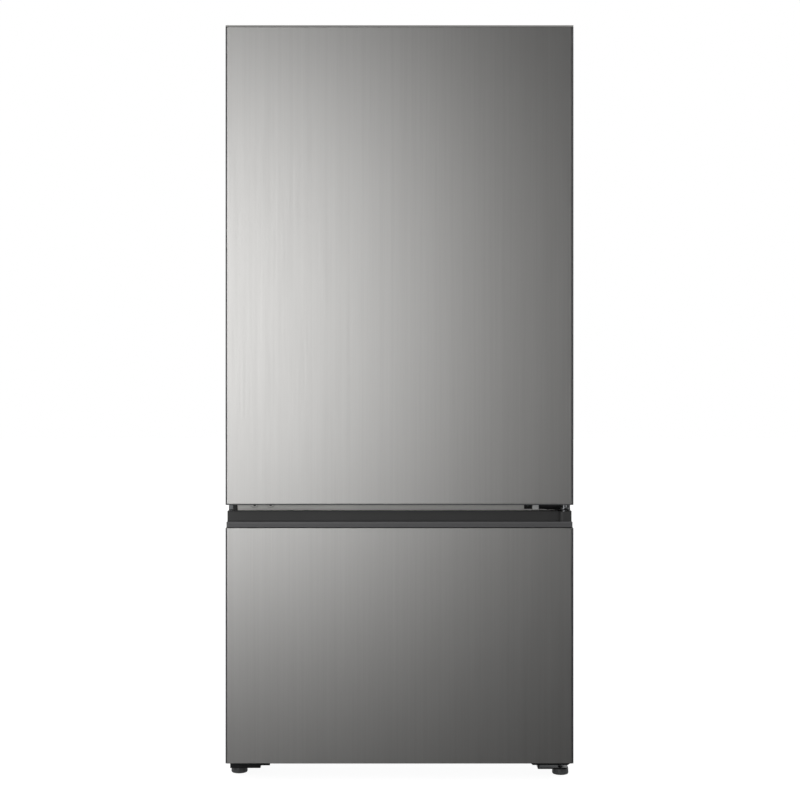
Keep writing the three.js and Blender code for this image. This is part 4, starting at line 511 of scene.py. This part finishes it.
# %% Draw an outline and pull it out
def traced(name, spots):
    """One vertex extruded from spot to spot, left in edit mode with all of it selected."""
    deselect()
    bpy.ops.mesh.primitive_plane_add(size=1)
    piece = named(name)
    bpy.ops.object.mode_set(mode="EDIT")
    bpy.ops.mesh.select_mode(type="VERT")
    bpy.ops.mesh.merge(type="CENTER")
    bpy.ops.transform.translate(value=spots[0])
    for here, there in zip(spots, spots[1:]):
        bpy.ops.mesh.extrude_vertices_move(TRANSFORM_OT_translate={"value": there - here})
    bpy.ops.mesh.select_all(action="SELECT")
    return piece


def drawn(name, points, axis, low, high):
    """An outline in the plane across X or Z, filled, and pulled from low to high."""
    def place(point, depth):
        return Vector((depth, *point) if axis == "X" else (*point, depth))

    piece = traced(name, [place(point, low) for point in points])
    bpy.ops.mesh.edge_face_add()
    bpy.ops.mesh.select_all(action="SELECT")
    bpy.ops.mesh.extrude_region_move(TRANSFORM_OT_translate={"value": place((0, 0), high - low)})
    bpy.ops.mesh.select_all(action="SELECT")
    bpy.ops.mesh.normals_make_consistent(inside=False)
    done()
    return piece


def arc(middle, radius, start, end, steps):
    """Points on an arc, its angles in degrees."""
    turns = (math.radians(start + (end - start) * i / steps) for i in range(steps + 1))
    return [(middle[0] + radius * math.cos(t), middle[1] + radius * math.sin(t)) for t in turns]


def metres(points):
    """A drawing's points, given in millimetres."""
    return [(a * MM, b * MM) for a, b in points]


print("An outline can be drawn")

# %% Cut, join and soften
SHARP = math.radians(30)
SMOOTH = math.radians(40)


def modified(piece, kind, **settings):
    """Adds a modifier and applies it."""
    alone(piece)
    modifier = piece.modifiers.new(kind.lower(), kind)
    for name, value in settings.items():
        setattr(modifier, name, value)
    bpy.ops.object.modifier_apply(modifier=modifier.name)
    return piece


def cut(piece, *tools):
    """Takes the tools' shapes out of the piece."""
    for tool in tools:
        modified(piece, "BOOLEAN", object=tool, operation="DIFFERENCE", solver="EXACT")
        bpy.data.objects.remove(tool)
    return piece


def joined(piece, *others):
    """Joins separate shells into one piece."""
    alone(piece)
    for other in others:
        other.select_set(True)
    bpy.ops.object.join()
    return piece


def soften(piece, width, segments=2):
    """Rounds all sharp edges, and smooths the shading without bending the flat faces."""
    modified(piece, "BEVEL", width=width, segments=segments, limit_method="ANGLE", angle_limit=SHARP,
             use_clamp_overlap=True, miter_outer="MITER_ARC")
    return smooth(piece)


def smooth(piece):
    alone(piece)
    bpy.ops.object.shade_smooth_by_angle(angle=SMOOTH)
    return modified(piece, "WEIGHTED_NORMAL", keep_sharp=True, weight=80)


def finished(piece, finish, body, slot):
    """The last step of every piece: its finish and the body it moves with. The slot is not used."""
    piece.data.materials.clear()
    piece.data.materials.append(FINISHES[finish])
    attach(piece, body)
    return piece


def in_place_of(node, piece, finish=None):
    """The last step of a piece that replaces a solid, whose body and slot it takes."""
    slot = SLOT_OF_NODE[node]
    finished(piece, finish or FINISH_OF_SLOT[slot], BODY_OF_NODE[node], slot)
    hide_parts(node)
    return piece


print("A piece can be cut, joined, softened and finished")

# %% [markdown]
# ## Pressed and moulded pieces
#
# Many pieces already have their full form in the solids: brackets, covers, drawers, bins and coils. What they
# lack is what a press or a mould leaves, a rounded edge that catches the light. For these, the solid's mesh is
# copied, its loose triangles are merged, flat areas are made one face again, and the edges are rounded.

# %% Merge a copied solid, and round its edges
def merged_copy(node, flat=True):
    """A copy of a solid's mesh, its corners merged and, if flat, its triangles joined into flat faces."""
    piece = bpy.data.objects.new(node + "_dressed", frame["nodes"][node].data.copy())
    bpy.context.scene.collection.objects.link(piece)
    alone(piece)
    bpy.ops.object.mode_set(mode="EDIT")
    bpy.ops.mesh.select_all(action="SELECT")
    bpy.ops.mesh.remove_doubles(threshold=0.01 * MM)
    if flat:
        bpy.ops.mesh.dissolve_limited(angle_limit=math.radians(1))
    done()
    return piece


PIERCED = {"freezer_duct_cover"}  # flat faces with many openings keep their triangles


def rounded_copy(node, width, segments=2):
    """The copied solid in its own finish, with its edges rounded to a width in millimetres."""
    piece = merged_copy(node, node not in PIERCED)
    return in_place_of(node, soften(piece, width * MM, segments))


print("A solid can be copied and rounded")

# %% [markdown]
# ## Door skins
#
# The front of each door is one steel sheet. Near its upright edges a roller has pressed a shallow crown, 40
# degrees of a 5.4 mm bend, and then the sheet dips behind a painted side profile, 2 mm wide from the front.
# The crown is what draws the thin light and dark lines beside the edges. The sheet's section is drawn and pulled
# upwards, its ends are bevelled for the fold at the top and bottom, the back is taken off, and Solidify gives
# the sheet its thickness.

# %% Door skins
CROWN = 5.4 * MM
CROWN_ANGLE = 40
SIDE_WALL = 2.0 * MM
FOLD = 1.2 * MM
FOLD_DEPTH = 5 * MM
SHEET = 0.9 * MM


def door_skin(node, bottom_rise, top_drop):
    """A door's steel sheet, which stops short of the door's ends by these heights in millimetres."""
    low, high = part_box(node)
    bottom, top, front = low.z + bottom_rise * MM, high.z - top_drop * MM, low.y
    reach = CROWN * math.sin(math.radians(CROWN_ANGLE))
    rim = high.x - SIDE_WALL
    right = arc((rim - reach, front + CROWN), CROWN, 270, 270 + CROWN_ANGLE, 8) + [(rim, front + FOLD_DEPTH)]
    left = [(-x, y) for x, y in reversed(right)]
    piece = drawn(node + "_sheet", left + right, "Z", bottom, top)

    def folded(edge):
        ends = [v.co for v in edge.verts]
        level = any(all(abs(end.z - z) < 0.01 * MM for end in ends) for z in (bottom, top))
        return level and all(end.y < front + FOLD_DEPTH - 0.1 * MM for end in ends)

    bevelled(piece, folded, FOLD, 4)
    pick(piece, "FACE", lambda face: face.normal.y > 0.99)
    bpy.ops.mesh.delete(type="FACE")
    done()
    modified(piece, "SOLIDIFY", thickness=SHEET, offset=-1)
    return in_place_of(node, smooth(piece))


def side_profiles(node, bottom_rise, top_drop):
    """The painted profiles at the left and right of a door."""
    low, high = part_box(node)
    made = []
    for side, name in ((-1, "left"), (1, "right")):
        across = sorted((side * high.x, side * (high.x - SIDE_WALL)))
        piece = slab(node.replace("skin", "side_") + name, (across[0], low.y + MM, low.z + bottom_rise * MM),
                     (across[1], high.y, high.z - top_drop * MM))
        made.append(finished(soften(piece, 0.7 * MM, 3), "powder_coat", BODY_OF_NODE[node], "case_paint"))
    return made


TOP_STRIP = 3.6  # heights of the strips at the ends of the upper door, in millimetres
BOTTOM_STRIP = 1.8
GAP = 0.1
skins = [door_skin("fridge_door_skin", BOTTOM_STRIP + GAP, TOP_STRIP + GAP), door_skin("freezer_door_skin", 0, GAP)]
sides = side_profiles("fridge_door_skin", BOTTOM_STRIP, TOP_STRIP) + side_profiles("freezer_door_skin", 0, 0)
for piece in skins + sides:
    print(piece.name, len(piece.data.polygons), "faces")

# %% [markdown]
# ## End caps of the doors
#
# A moulded cap closes each end of a door. At the top, a grey edge strip seats on the folded steel, and shows as
# a thin line along the door. The fridge door's lower cap has the finger pocket that pulls the door open, under
# its free end. Outlines are drawn and pulled out, and the pocket and the bores for the pins are cut with booleans,
# because their edges have to be crisp before they are rounded.

# %% The outline of a door, and its caps
CORNER = 2.0 * MM


def door_outline():
    """Left rear, round the front corners, to the right rear."""
    low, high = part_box("fridge_door_skin")
    return [(low.x, high.y), *arc((low.x + CORNER, low.y + CORNER), CORNER, 180, 270, 6),
            *arc((high.x - CORNER, low.y + CORNER), CORNER, 270, 360, 6), (high.x, high.y)]


def bore(place, radius, low, high, axis="Z"):
    """A round tool along Z or Y, through its place in the plane across that axis."""
    middle, upright = (low + high) / 2, axis == "Z"
    deselect()
    bpy.ops.mesh.primitive_cylinder_add(
        vertices=32, radius=radius, depth=high - low, rotation=(0 if upright else math.pi / 2, 0, 0),
        location=(*place, middle) if upright else (place[0], middle, place[1]))
    bpy.ops.object.transform_apply()
    return named("bore")


HINGE = (0.377, DOOR_FACE + 0.030)  # where the doors' pins stand
PIN_BORE = 5.4 * MM
PIN_DEPTH = 16 * MM
STRIP_WIDTH = 12 * MM
CAP_GAP = 0.3 * MM

low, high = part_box("fridge_door_skin")
left, right, front = low.x + STRIP_WIDTH, high.x - STRIP_WIDTH, low.y + STRIP_WIDTH
inner = [(right, high.y), (right, front), (left, front), (left, high.y)]
strip = drawn("fridge_door_top_strip", door_outline() + inner, "Z", high.z - TOP_STRIP * MM, high.z)
finished(soften(strip, 0.5 * MM), "cap_grey_abs", "fridge_door", "grey_plastic")

cap = slab("fridge_door_top_plate", (left + CAP_GAP, front + CAP_GAP, high.z - 20 * MM),
           (right - CAP_GAP, high.y, high.z - MM))
cut(cap, bore(HINGE, PIN_BORE, high.z - PIN_DEPTH, high.z + MM))
in_place_of("fridge_door_top_cap", soften(cap, 0.8 * MM))

sole = drawn("fridge_door_bottom_plate", door_outline(), "Z", low.z, low.z + BOTTOM_STRIP * MM)
body_low, body_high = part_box("fridge_door_bottom_cap")
block = slab("block", (body_low.x, body_low.y, low.z + MM), body_high)
pocket_low = (-0.372, DOOR_FACE + 0.014, low.z - MM)
pocket_high = (-0.205, DOOR_FACE + 0.044, low.z + 0.025)
for shell in (sole, block):
    pocket = bevelled(slab("pocket", pocket_low, pocket_high), edges_along("Z"), 8 * MM, 5)
    cut(shell, pocket, bore(HINGE, PIN_BORE, low.z - MM, low.z + PIN_DEPTH))
    soften(shell, 0.6 * MM)
in_place_of("fridge_door_bottom_cap", joined(sole, block), "foot_nylon")

low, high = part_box("freezer_door_bottom_cap")
foot_cap = slab("freezer_door_bottom_plate", low + Vector((0.004, 0.004, 0.0012)), high - Vector((0.004, 0, 0)))
cut(foot_cap, bore(HINGE, PIN_BORE, low.z - MM, low.z + PIN_DEPTH))
in_place_of("freezer_door_bottom_cap", soften(foot_cap, 0.8 * MM))
print("Caps and strip for the doors")

# %% [markdown]
# ## Grip along the lower door
#
# The grip is a long profile: a low aluminium lip with fine grooves, a trough for the fingers behind it, and a
# taller moulded wall that closes the door's top. Each section is drawn once and pulled along the door's width, as
# an extruder does. A black strip under the lip is painted shadow in the gap above the steel, and a bush at the
# right takes the middle hinge's pin.

# %% Grip
GRIP_END = 0.3927  # half the lengths of the lip and the wall
WALL_END = 0.3945
GRIP_SLOT = SLOT_OF_NODE["freezer_door_grip"]
GROOVES = (584.6, 588.0)  # heights of the fine grooves in the lip, in millimetres

section = [(-294.3, 579.1), (-344.8, 579.1), (-344.8, 581.2), (-350.0, 581.2)]
for level in GROOVES:
    section += [(-350.0, level - 0.5), (-349.4, level - 0.2), (-349.4, level + 0.2), (-350.0, level + 0.5)]
section += arc((-347.4, 590.4), 2.6, 180, 90, 5)
section += arc((-345.0, 591.2), 1.8, 90, 0, 3)
section += arc((-340.2, 588.3), 3.0, 180, 270, 4)
section += [(-330.0, 585.3), (-330.0, 583.0), (-294.3, 583.0)]
grip = drawn("freezer_door_grip_lip", metres(section), "X", -GRIP_END, GRIP_END)
in_place_of("freezer_door_grip", smooth(grip))

wall_section = [(-294.3, 583.1), (-330.1, 583.1), (-330.1, 585.4)] + arc((-326.0, 597.3), 12.0, 270, 360, 8)
wall_section += arc((-312.5, 613.5), 1.5, 180, 90, 3) + [(-294.3, 615.0)]
wall = drawn("freezer_door_grip_wall", metres(wall_section), "X", -WALL_END, WALL_END)
# The wall is darker than the lip, partly its own moulded grey and partly painted shade of the recess.
finished(smooth(wall), "recess_shaded_abs", "freezer_door", GRIP_SLOT)
# A black strip in the gap under the lip, as painted shadow between the lip and the steel.
shadow_strip = slab("freezer_door_grip_shadow_strip", (-GRIP_END, -0.3462, 0.57905), (GRIP_END, -0.3446, 0.5813))
finished(shadow_strip, "black_abs", "freezer_door", "black_plastic")
bush = slab("freezer_door_hinge_bush", (0.3645, -0.3285, 0.5865), (0.3925, -0.2945, 0.6149))
bevelled(bush, edges_along("Z", ("Y", -0.3290, -0.3280), ("X", 0.36, 0.38)), 10 * MM, 6)
cut(bush, bore(HINGE, PIN_BORE, 0.599, 0.616))
finished(soften(bush, 0.8 * MM), "recess_shaded_abs", "freezer_door", GRIP_SLOT)
print("The grip's section has", len(section), "points")

# %% [markdown]
# ## Cross rail with its plugged holes
#
# The rail between the doors is a steel channel, painted silver. At its left end are the two holes that a hinge
# would use on the other side: each is pressed into a shallow dish and closed with a black plug. The holes are
# made as dishes and plugs set on the rail, because only their lower halves show above the grip. A black block
# closes the rail's end beside them, and a small grey patch on it is a painted highlight of the case's fold.

# %% Rail, dishes and plugs
def turned(name, profile, axis, place, steps=32):
    """A profile of (radius, height) in millimetres, spun round Z, and laid along Y if that is its axis."""
    piece = traced(name, [Vector((radius, 0, height)) for radius, height in metres(profile)])
    bpy.ops.mesh.spin(steps=steps, angle=2 * math.pi, center=(0, 0, 0), axis=(0, 0, 1))
    bpy.ops.mesh.select_all(action="SELECT")
    bpy.ops.mesh.remove_doubles(threshold=0.01 * MM)
    bpy.ops.mesh.normals_make_consistent(inside=False)
    done()
    alone(piece)
    piece.rotation_euler.x = {"Y": math.pi / 2, "Z": 0}[axis]
    piece.location = place
    bpy.ops.object.transform_apply()
    return piece


rail = rounded_copy("mullion_rail", 0.6, 3)
RAIL_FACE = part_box("mullion_rail")[0].y
HOLE_HEIGHT = 0.6285
dish = [(4.2, -0.4), (4.2, 0.7), (5.0, 1.0), (6.5, 0.9), (9.5, 0.3), (10.5, -0.4), (4.2, -0.4)]
plug = [(0, 1.6), (2.2, 1.5), (3.7, 0.9), (4.3, -0.2), (4.3, -0.4), (0, -0.4)]
for number, x in enumerate((-0.3352, -0.2980)):
    place = (x, RAIL_FACE, HOLE_HEIGHT)
    finished(smooth(turned(f"rail_dish_{number}", dish, "Y", place)), "silver_paint", "cabinet", "rail_paint")
    finished(smooth(turned(f"rail_plug_{number}", plug, "Y", place)), "black_abs", "cabinet", "black_plastic")

corner = slab("rail_end_block", (-0.3945, -0.2836, 0.612), (-0.3755, -0.2802, 0.634))
finished(soften(corner, 0.6 * MM), "black_abs", "cabinet", "black_plastic")
# A grey patch on the end block: a painted highlight where the case's front fold catches the light.
highlight_patch = slab("rail_end_highlight_patch", (-0.3932, -0.2846, 0.6165), (-0.3845, -0.2834, 0.6275))
finished(soften(highlight_patch, 0.5 * MM), "nylon", "cabinet", "roller_plastic")
print("Rail of", len(rail.data.polygons), "faces, with its dishes and plugs")

# %% [markdown]
# ## Middle hinge
#
# The middle hinge is a black steel arm, 3 mm thick, that carries a plated pin for both doors. Its foot is bolted
# to the cross rail, with a white plastic spacer beside the bolt and a black cover over the rest. The spacer's white
# is partly a painted highlight, standing for a bright plated part that catches the light there. The arm is drawn
# as seen from above. The pin and its collar are turned, with small chamfers that catch the light.

# %% Middle hinge
ARM_END = 14 * MM


def hinge_arm(name, inner, rear, low, high):
    """A flat arm from the cabinet to the pin, with a round end."""
    tip = arc(HINGE, ARM_END, 180, 360, 16)
    return soften(drawn(name, tip + [(HINGE[0] + ARM_END, rear), (inner, rear)], "Z", low, high), 0.5 * MM)


def hinge_pin(name, low, high, *collar):
    """A plated pin with chamfered ends, its heights and the points of its collar in millimetres."""
    profile = [(0, low), (4.4, low), (5.0, low + 0.6), *collar, (5.0, high - 0.6), (4.4, high), (0, high)]
    return finished(smooth(turned(name, profile, "Z", (*HINGE, 0))), "zinc_plate", "cabinet", "zinc_steel")


in_place_of("middle_hinge", hinge_arm("middle_hinge_arm", 0.324, -0.2803, 0.6175, 0.6205))

foot = soften(slab("middle_hinge_foot", (0.288, -0.2838, 0.6175), (0.352, -0.2803, 0.6295)), 0.8 * MM)
# The spacer's white is partly a painted highlight of a bright plated part.
spacer = soften(slab("middle_hinge_spacer", (0.3060, -0.3000, 0.6172), (0.3205, -0.2838, 0.6290)), 0.6 * MM)
cover = slab("middle_hinge_cover", (0.3216, -0.2890, 0.6196), (0.3745, -0.2804, 0.6300))
soften(bevelled(cover, edges_along("X", ("Y", -0.2892, -0.2888)), 2 * MM, 4), 0.4 * MM)
bolt_profile = [(0, 3.6), (3.2, 3.4), (5.6, 2.4), (6.6, 0.8), (6.6, -0.6), (0, -0.6)]
bolt = smooth(turned("middle_hinge_bolt", bolt_profile, "Y", (0.2986, -0.2842, 0.6248)))
screw_profile = [(0, 1.6), (1.2, 1.4), (2.0, 0.4), (2.0, -1.0), (0, -1.0)]
screw = smooth(turned("middle_hinge_screw", screw_profile, "Y", (0.3410, -0.2890, 0.6178)))
for piece, finish, slot in ((foot, "electrocoat", "black_paint"), (spacer, "white_polystyrene", "white_plastic"),
                            (cover, "black_abs", "black_plastic"), (bolt, "electrocoat", "black_paint"),
                            (screw, "turned_chrome", "zinc_steel")):
    finished(piece, finish, "cabinet", slot)
hinge_pin("middle_hinge_pin", 601.2, 644.8,
          (5.0, 620.6), (9.6, 620.6), (9.9, 621.0), (9.9, 622.2), (9.6, 622.6), (5.0, 622.6))
print("Middle hinge with its pin")

# %% [markdown]
# ## Levelling feet
#
# A levelling foot is a moulded nylon pad on a steel screw. The rim has shallow flutes, so that fingers can turn
# it. The pad is turned from its profile, and every fourth strip of its rim is pushed in a little.

# %% Levelling feet
FLUTE_PITCH = 30  # degrees round the rim
FLUTE_WIDTH = 7.5
pad = [(0, 0), (15.2, 0), (17.6, 0.8), (18.8, 2.6), (19.0, 4.0), (18.6, 13.2), (17.6, 14.6), (15.8, 15.0), (0, 15.0)]
thread = [(0, 15.0), (5.0, 15.0)]
for turn in range(9):
    start = 15.4 + turn * 2.0
    thread += [(5.0, start), (4.3, start + 0.7), (4.3, start + 1.3), (5.0, start + 2.0)]
thread += [(4.4, 34.5), (0, 34.5)]
for node in ("front_foot_left", "front_foot_right"):
    low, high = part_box(node)
    middle = ((low.x + high.x) / 2, (low.y + high.y) / 2, 0)
    piece = turned(node + "_pad", pad, "Z", middle, 48)

    def flute(face):
        spot = face.calc_center_median()
        around = math.degrees(math.atan2(spot.y - middle[1], spot.x - middle[0])) % FLUTE_PITCH
        return 3 * MM < spot.z < 13.5 * MM and abs(face.normal.z) < 0.3 and around < FLUTE_WIDTH

    pick(piece, "FACE", flute)
    bpy.ops.mesh.inset(thickness=0.5 * MM, depth=-0.7 * MM)
    done()
    in_place_of(node, smooth(piece), "foot_nylon")
    stem = turned(node + "_stem", thread, "Z", middle, 24)
    finished(smooth(stem), "zinc_plate", BODY_OF_NODE[node], "zinc_steel")
print("Feet turned")

# %% [markdown]
# ## Bottom hinge
#
# The bottom hinge is folded from 3 mm plate. Its arm carries the pin of the lower door, and a lowered shelf takes
# the screw of the levelling foot. A face plate closes the front between them.

# %% Bottom hinge
BENT_PLATE = 3 * MM
RIGHT, REAR = 0.391, -0.220
SHELF_LOW, PLATE_LOW = 0.0156, 0.0407
PLATE_TOP, SHELF_TOP = PLATE_LOW + BENT_PLATE, SHELF_LOW + BENT_PLATE

plate = slab("bottom_hinge_plate", (0.298, -0.2800, PLATE_LOW), (RIGHT, REAR, PLATE_TOP))
face = slab("bottom_hinge_face", (0.300, -0.2830, 0.0248), (RIGHT, -0.2802, PLATE_TOP))
bevelled(face, edges_along("Y", ("X", 0.29, 0.31), ("Z", 0.02, 0.03)), 8 * MM, 1)
upright = slab("bottom_hinge_upright", (0.320, -0.2828, SHELF_LOW), (0.320 + BENT_PLATE, REAR, 0.0410))
shelf = slab("bottom_hinge_shelf", (0.320, -0.2828, SHELF_LOW), (RIGHT, REAR, SHELF_TOP))
bevelled(shelf, edges_along("Z", ("X", 0.38, 0.40)), 10 * MM, 6)
cut(shelf, bore((0.374, -0.260), 5.5 * MM, 0.010, 0.020))
arm = hinge_arm("bottom_hinge_arm", 0.330, -0.2760, 0.0380, PLATE_LOW)
for part in (plate, face, upright, shelf):
    soften(part, 0.6 * MM)
in_place_of("bottom_hinge", joined(arm, plate, face, upright, shelf))
hinge_pin("bottom_hinge_pin", 38.0, 54.8)
print("Bottom hinge folded")

# %% [markdown]
# The foam of the lower door stops a little lower than its solid, so that no foam shows in the groove under the
# grip.

# %% Foam
FOAM_DROP = 3 * MM
foam = merged_copy("freezer_door_foam")
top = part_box("freezer_door_foam")[1].z
pick(foam, "VERT", lambda vert: vert.co.z > top - 0.5 * MM)
bpy.ops.transform.translate(value=(0, 0, -FOAM_DROP))
done()
in_place_of("freezer_door_foam", foam)
print("Foam lowered")

# %% [markdown]
# ## Cabinet
#
# The case is one sheet, folded over the top and down both sides, and its folds are round. The copied solid gets
# this only on its long outer edges, because the sheet is 1 mm thick. The top overlaps the sides with a seam.

# %% Case
def on_planes(low, high):
    """A test for long edges that lie on two outer planes of a box."""
    def test(edge):
        first, second = (v.co for v in edge.verts)
        touched = [plane for i in range(3) for plane in (low[i], high[i])
                   if abs(first[i] - plane) < 0.02 * MM and abs(second[i] - plane) < 0.02 * MM]
        return (second - first).length >= 300 * MM and len(touched) >= 2
    return test


low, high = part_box("outer_case")
case = bevelled(merged_copy("outer_case"), on_planes(low, high), 1.8 * MM, 4)
in_place_of("outer_case", smooth(case), "case_coat")
seam = slab("case_top_seam", (low.x + 0.004, low.y + 0.030, high.z - 0.4 * MM),
            (high.x - 0.004, high.y - 0.012, high.z + 0.6 * MM))
soften(bevelled(seam, edges_along("Z"), 4 * MM, 4), 0.4 * MM)
finished(seam, "case_coat", "cabinet", "case_paint")
print("Case:", len(case.data.polygons), "faces")

# %% [markdown]
# ## Back
#
# The back is galvanised sheet with pressed beads that keep it from drumming, held by screws along its edges.
# Below it, the black machine cover has upright air slots with round ends, and a gland for the mains cord.

# %% Back panel and its screws
SCREW_HEAD = [(0, -1.9), (2.1, -1.7), (3.57, -1.1), (4.2, -0.3), (4.2, 0.4), (0, 0.4)]


def screws(name, y, *grids):
    """Pan-head screws on the back, on grids of places across and up, joined into one piece."""
    heads = [turned(name, SCREW_HEAD, "Y", (x, y, z), 14) for across, up in grids for x in across for z in up]
    return finished(smooth(joined(*heads)), "zinc_plate", "cabinet", "zinc_steel")


BEAD_HEIGHTS = (0.40, 0.68, 0.96, 1.24, 1.52)
BEAD_X, BEAD_Z = 0.300, 0.010  # half a bead's length and width
low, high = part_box("rear_panel")
panel = slab("rear_panel_sheet", low, high)
beads = []
for level in BEAD_HEIGHTS:
    bead = slab("bead", (-BEAD_X, high.y - 0.6 * MM, level - BEAD_Z), (BEAD_X, high.y + 1.6 * MM, level + BEAD_Z))
    beads.append(bevelled(bead, edges_along("Y"), 9.5 * MM, 8))
joined(panel, *beads)
in_place_of("rear_panel", soften(panel, 1.5 * MM, 3))

side = high.x - 0.010
screws("rear_panel_screws", high.y, ((-side, side), (0.30, 0.57, 0.84, 1.11, 1.38, 1.65)),
       ((-0.24, 0.0, 0.24), (low.z + 0.012, high.z - 0.012)))
print(len(beads), "beads and 18 screws in the back")

# %% Machine cover
SLOTS = 16
SLOT_PITCH, SLOT_WIDTH, SLOT_MARGIN = 0.022, 0.009, 0.048
GLAND_X, GLAND_HEIGHT = -0.324, 0.104

low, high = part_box("machine_cover")
cover = slab("machine_cover_plate", (low.x, high.y - 2 * MM, low.z), high)
for number in range(SLOTS):
    x = (number - (SLOTS - 1) / 2) * SLOT_PITCH
    opening = slab("opening", (x - SLOT_WIDTH / 2, low.y - 0.02, low.z + SLOT_MARGIN),
                   (x + SLOT_WIDTH / 2, high.y + MM, high.z - SLOT_MARGIN))
    cut(cover, bevelled(opening, edges_along("Y"), 4.2 * MM, 5))
cut(cover, bore((GLAND_X, GLAND_HEIGHT), 5 * MM, high.y - 0.01, high.y + 0.01, "Y"))
in_place_of("machine_cover", soften(cover, 0.4 * MM))
ring = [(5.2, 0.5), (5.2, -2.2), (6.0, -2.8), (9.0, -2.6), (10.8, -1.6), (11.2, 0.2), (8.8, 0.5), (8.8, 12.0),
        (5.2, 12.0), (5.2, 0.5)]
gland = turned("cord_gland", ring, "Y", (GLAND_X, high.y, GLAND_HEIGHT))
finished(smooth(gland), "black_abs", "cabinet", "black_plastic")
screws("machine_cover_screws", high.y, ((-0.38, -0.13, 0.13, 0.38), (low.z + 0.014, high.z - 0.012)))
print(SLOTS, "slots and a gland")

# %% [markdown]
# ## Liners, the lamp's lens and the dial
#
# A liner is drawn down into a mould as one warm sheet, so its inner corners are round. The bevel takes only the
# long inner edges. In the fridge's ceiling, a frosted lens clips into the groove of the control box, and a dial
# with a ridge across it sets the temperature.

# %% Liners and lens
INNER = {  # left and bottom, right and top, and back of each liner's inside
    "fridge_liner": ((-0.346, 0.660), (0.346, 1.660), 0.290),
    "freezer_liner": ((-0.340, 0.100), (0.340, 0.586), 0.290),
}


def inner_edges(corner_low, corner_high, back):
    """A test for the edges inside a liner: along Y in its four corners, and round its back wall."""
    def near(value, *levels):
        return any(abs(value - level) < 0.3 * MM for level in levels)

    def test(edge):
        first, second = (v.co for v in edge.verts)
        if (second - first).length < 12 * MM or len(edge.link_faces) != 2:
            return False
        if edge.calc_face_angle_signed(0) > -math.radians(60):
            return False
        middle = (first + second) / 2
        side = near(middle.x, corner_low[0], corner_high[0])
        level = near(middle.z, corner_low[1], corner_high[1])
        return side + level + near(middle.y, back) >= 2
    return test


for node, inside in INNER.items():
    liner = bevelled(merged_copy(node), inner_edges(*inside), 10 * MM, 5, clamp_overlap=True)
    in_place_of(node, smooth(liner))
    print(node, len(liner.data.polygons), "faces")

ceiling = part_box("control_box")[0]
window = slab("lamp_lens", (-0.1045, -0.1575, ceiling.z - 0.7 * MM), (0.0145, -0.0685, ceiling.z + 1.2 * MM))
soften(bevelled(window, edges_along("Z"), 5 * MM, 5), 0.5 * MM)
finished(window, "frosted_lens", "cabinet", "clear_plastic")
print("Lens seated")

# %% Dial
low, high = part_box("temperature_dial")
x, y, z = (low.x + high.x) / 2, ceiling.y, (low.z + high.z) / 2
knob, reach = (high.x - low.x) / 2 / MM, (y - low.y) / MM
knob_profile = [(0, reach - 2.2), (knob * 0.66, reach - 2.4), (knob * 0.76, reach - 3.4),
                (knob * 0.80, 3.6), (knob * 0.97, 2.8), (knob, 2.0), (knob, 0.4), (0, 0.4)]
dial = turned("temperature_knob", knob_profile, "Y", (x, y, z), 40)
half_ridge = knob * 0.70 * MM
ridge = slab("ridge", (x - 2.2 * MM, low.y, z - half_ridge), (x + 2.2 * MM, y - 3 * MM, z + half_ridge))
joined(dial, soften(ridge, MM, 3))
in_place_of("temperature_dial", smooth(dial))
print("Dial of", round(knob * 2), "mm")

# %% [markdown]
# ## Grip rails of the drawers
#
# Every drawer carries a white rail on the top edge of its front, where a hand takes it. A rail hooks over the
# edge, with a round top and a front that leans in below.

# %% Grip rails
RAIL_INSET = 12 * MM
RAIL_PROFILE = metres([(-0.2, -24), (-3.5, -21), (-5, -8), *arc((-2.2, -2.8), 3, 180, 90, 4), (6, 0.3), (6, -1.5),
                       (-0.2, -1.5)])  # counted from the drawer's top front edge


def grip_rail(node):
    """A rail along the front edge of a drawer's box."""
    low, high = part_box(node)
    outline = [(low.y + y, high.z + z) for y, z in RAIL_PROFILE]
    bar = drawn(node + "_rail", outline, "X", low.x + RAIL_INSET, high.x - RAIL_INSET)
    return finished(smooth(bar), "white_polystyrene", BODY_OF_NODE[node], "white_plastic")


DRAWERS = ("crisper_left", "crisper_right", "chill_drawer",
           "freezer_drawer_bottom", "freezer_drawer_middle", "freezer_drawer_top")
for node in DRAWERS:
    grip_rail(node)
print(len(DRAWERS), "grip rails")

# %% [markdown]
# ## The other pressed and moulded pieces
#
# What is left already has its form: brackets, liners of the doors, seals, bins, shelves, drawers, ducts, coils and
# the parts of the cooling machine. Each gets the edge radius of its own material: small on folded steel, about a
# millimetre on moulded plastic, and wide on foam-backed mouldings.

# %% Edge radii in millimetres
ROUNDED = {
    "base_plate": 0.4, "top_hinge": 0.5, "left_foot_bracket": 0.5, "top_hinge_cover": 0.8,
    "fridge_door_liner": 0.6, "fridge_door_rib": 3.0, "freezer_door_liner": 3.0,
    "fridge_door_gasket": 1.0, "freezer_door_gasket": 1.0,
    "door_bin_high": 0.9, "door_bin_middle": 0.9, "door_bin_low": 0.9, "dairy_lid": 0.8,
    "shelf_high_frame": 1.5, "shelf_middle_frame": 1.5, "shelf_low_frame": 1.0, "crisper_cover_frame": 1.5,
    "shelf_high_glass": 0.8, "shelf_middle_glass": 0.8, "shelf_low_glass": 0.8, "crisper_cover_glass": 0.8,
    **dict.fromkeys(DRAWERS, 0.9),
    "fridge_air_duct": 2.5, "freezer_duct_cover": 0.8, "control_box": 3.0, "evaporator": 0.3, "evaporator_fan": 0.5,
    "compressor_tray": 0.5, "compressor": 1.2, "condenser": 0.3, "condenser_fan": 0.5,
    "condenser_fan_motor": 1.0, "drip_tray": 0.8, "rear_roller_left": 1.0, "rear_roller_right": 1.0,
}
for node, width in ROUNDED.items():
    print(node, len(rounded_copy(node, width).data.polygons), "faces")
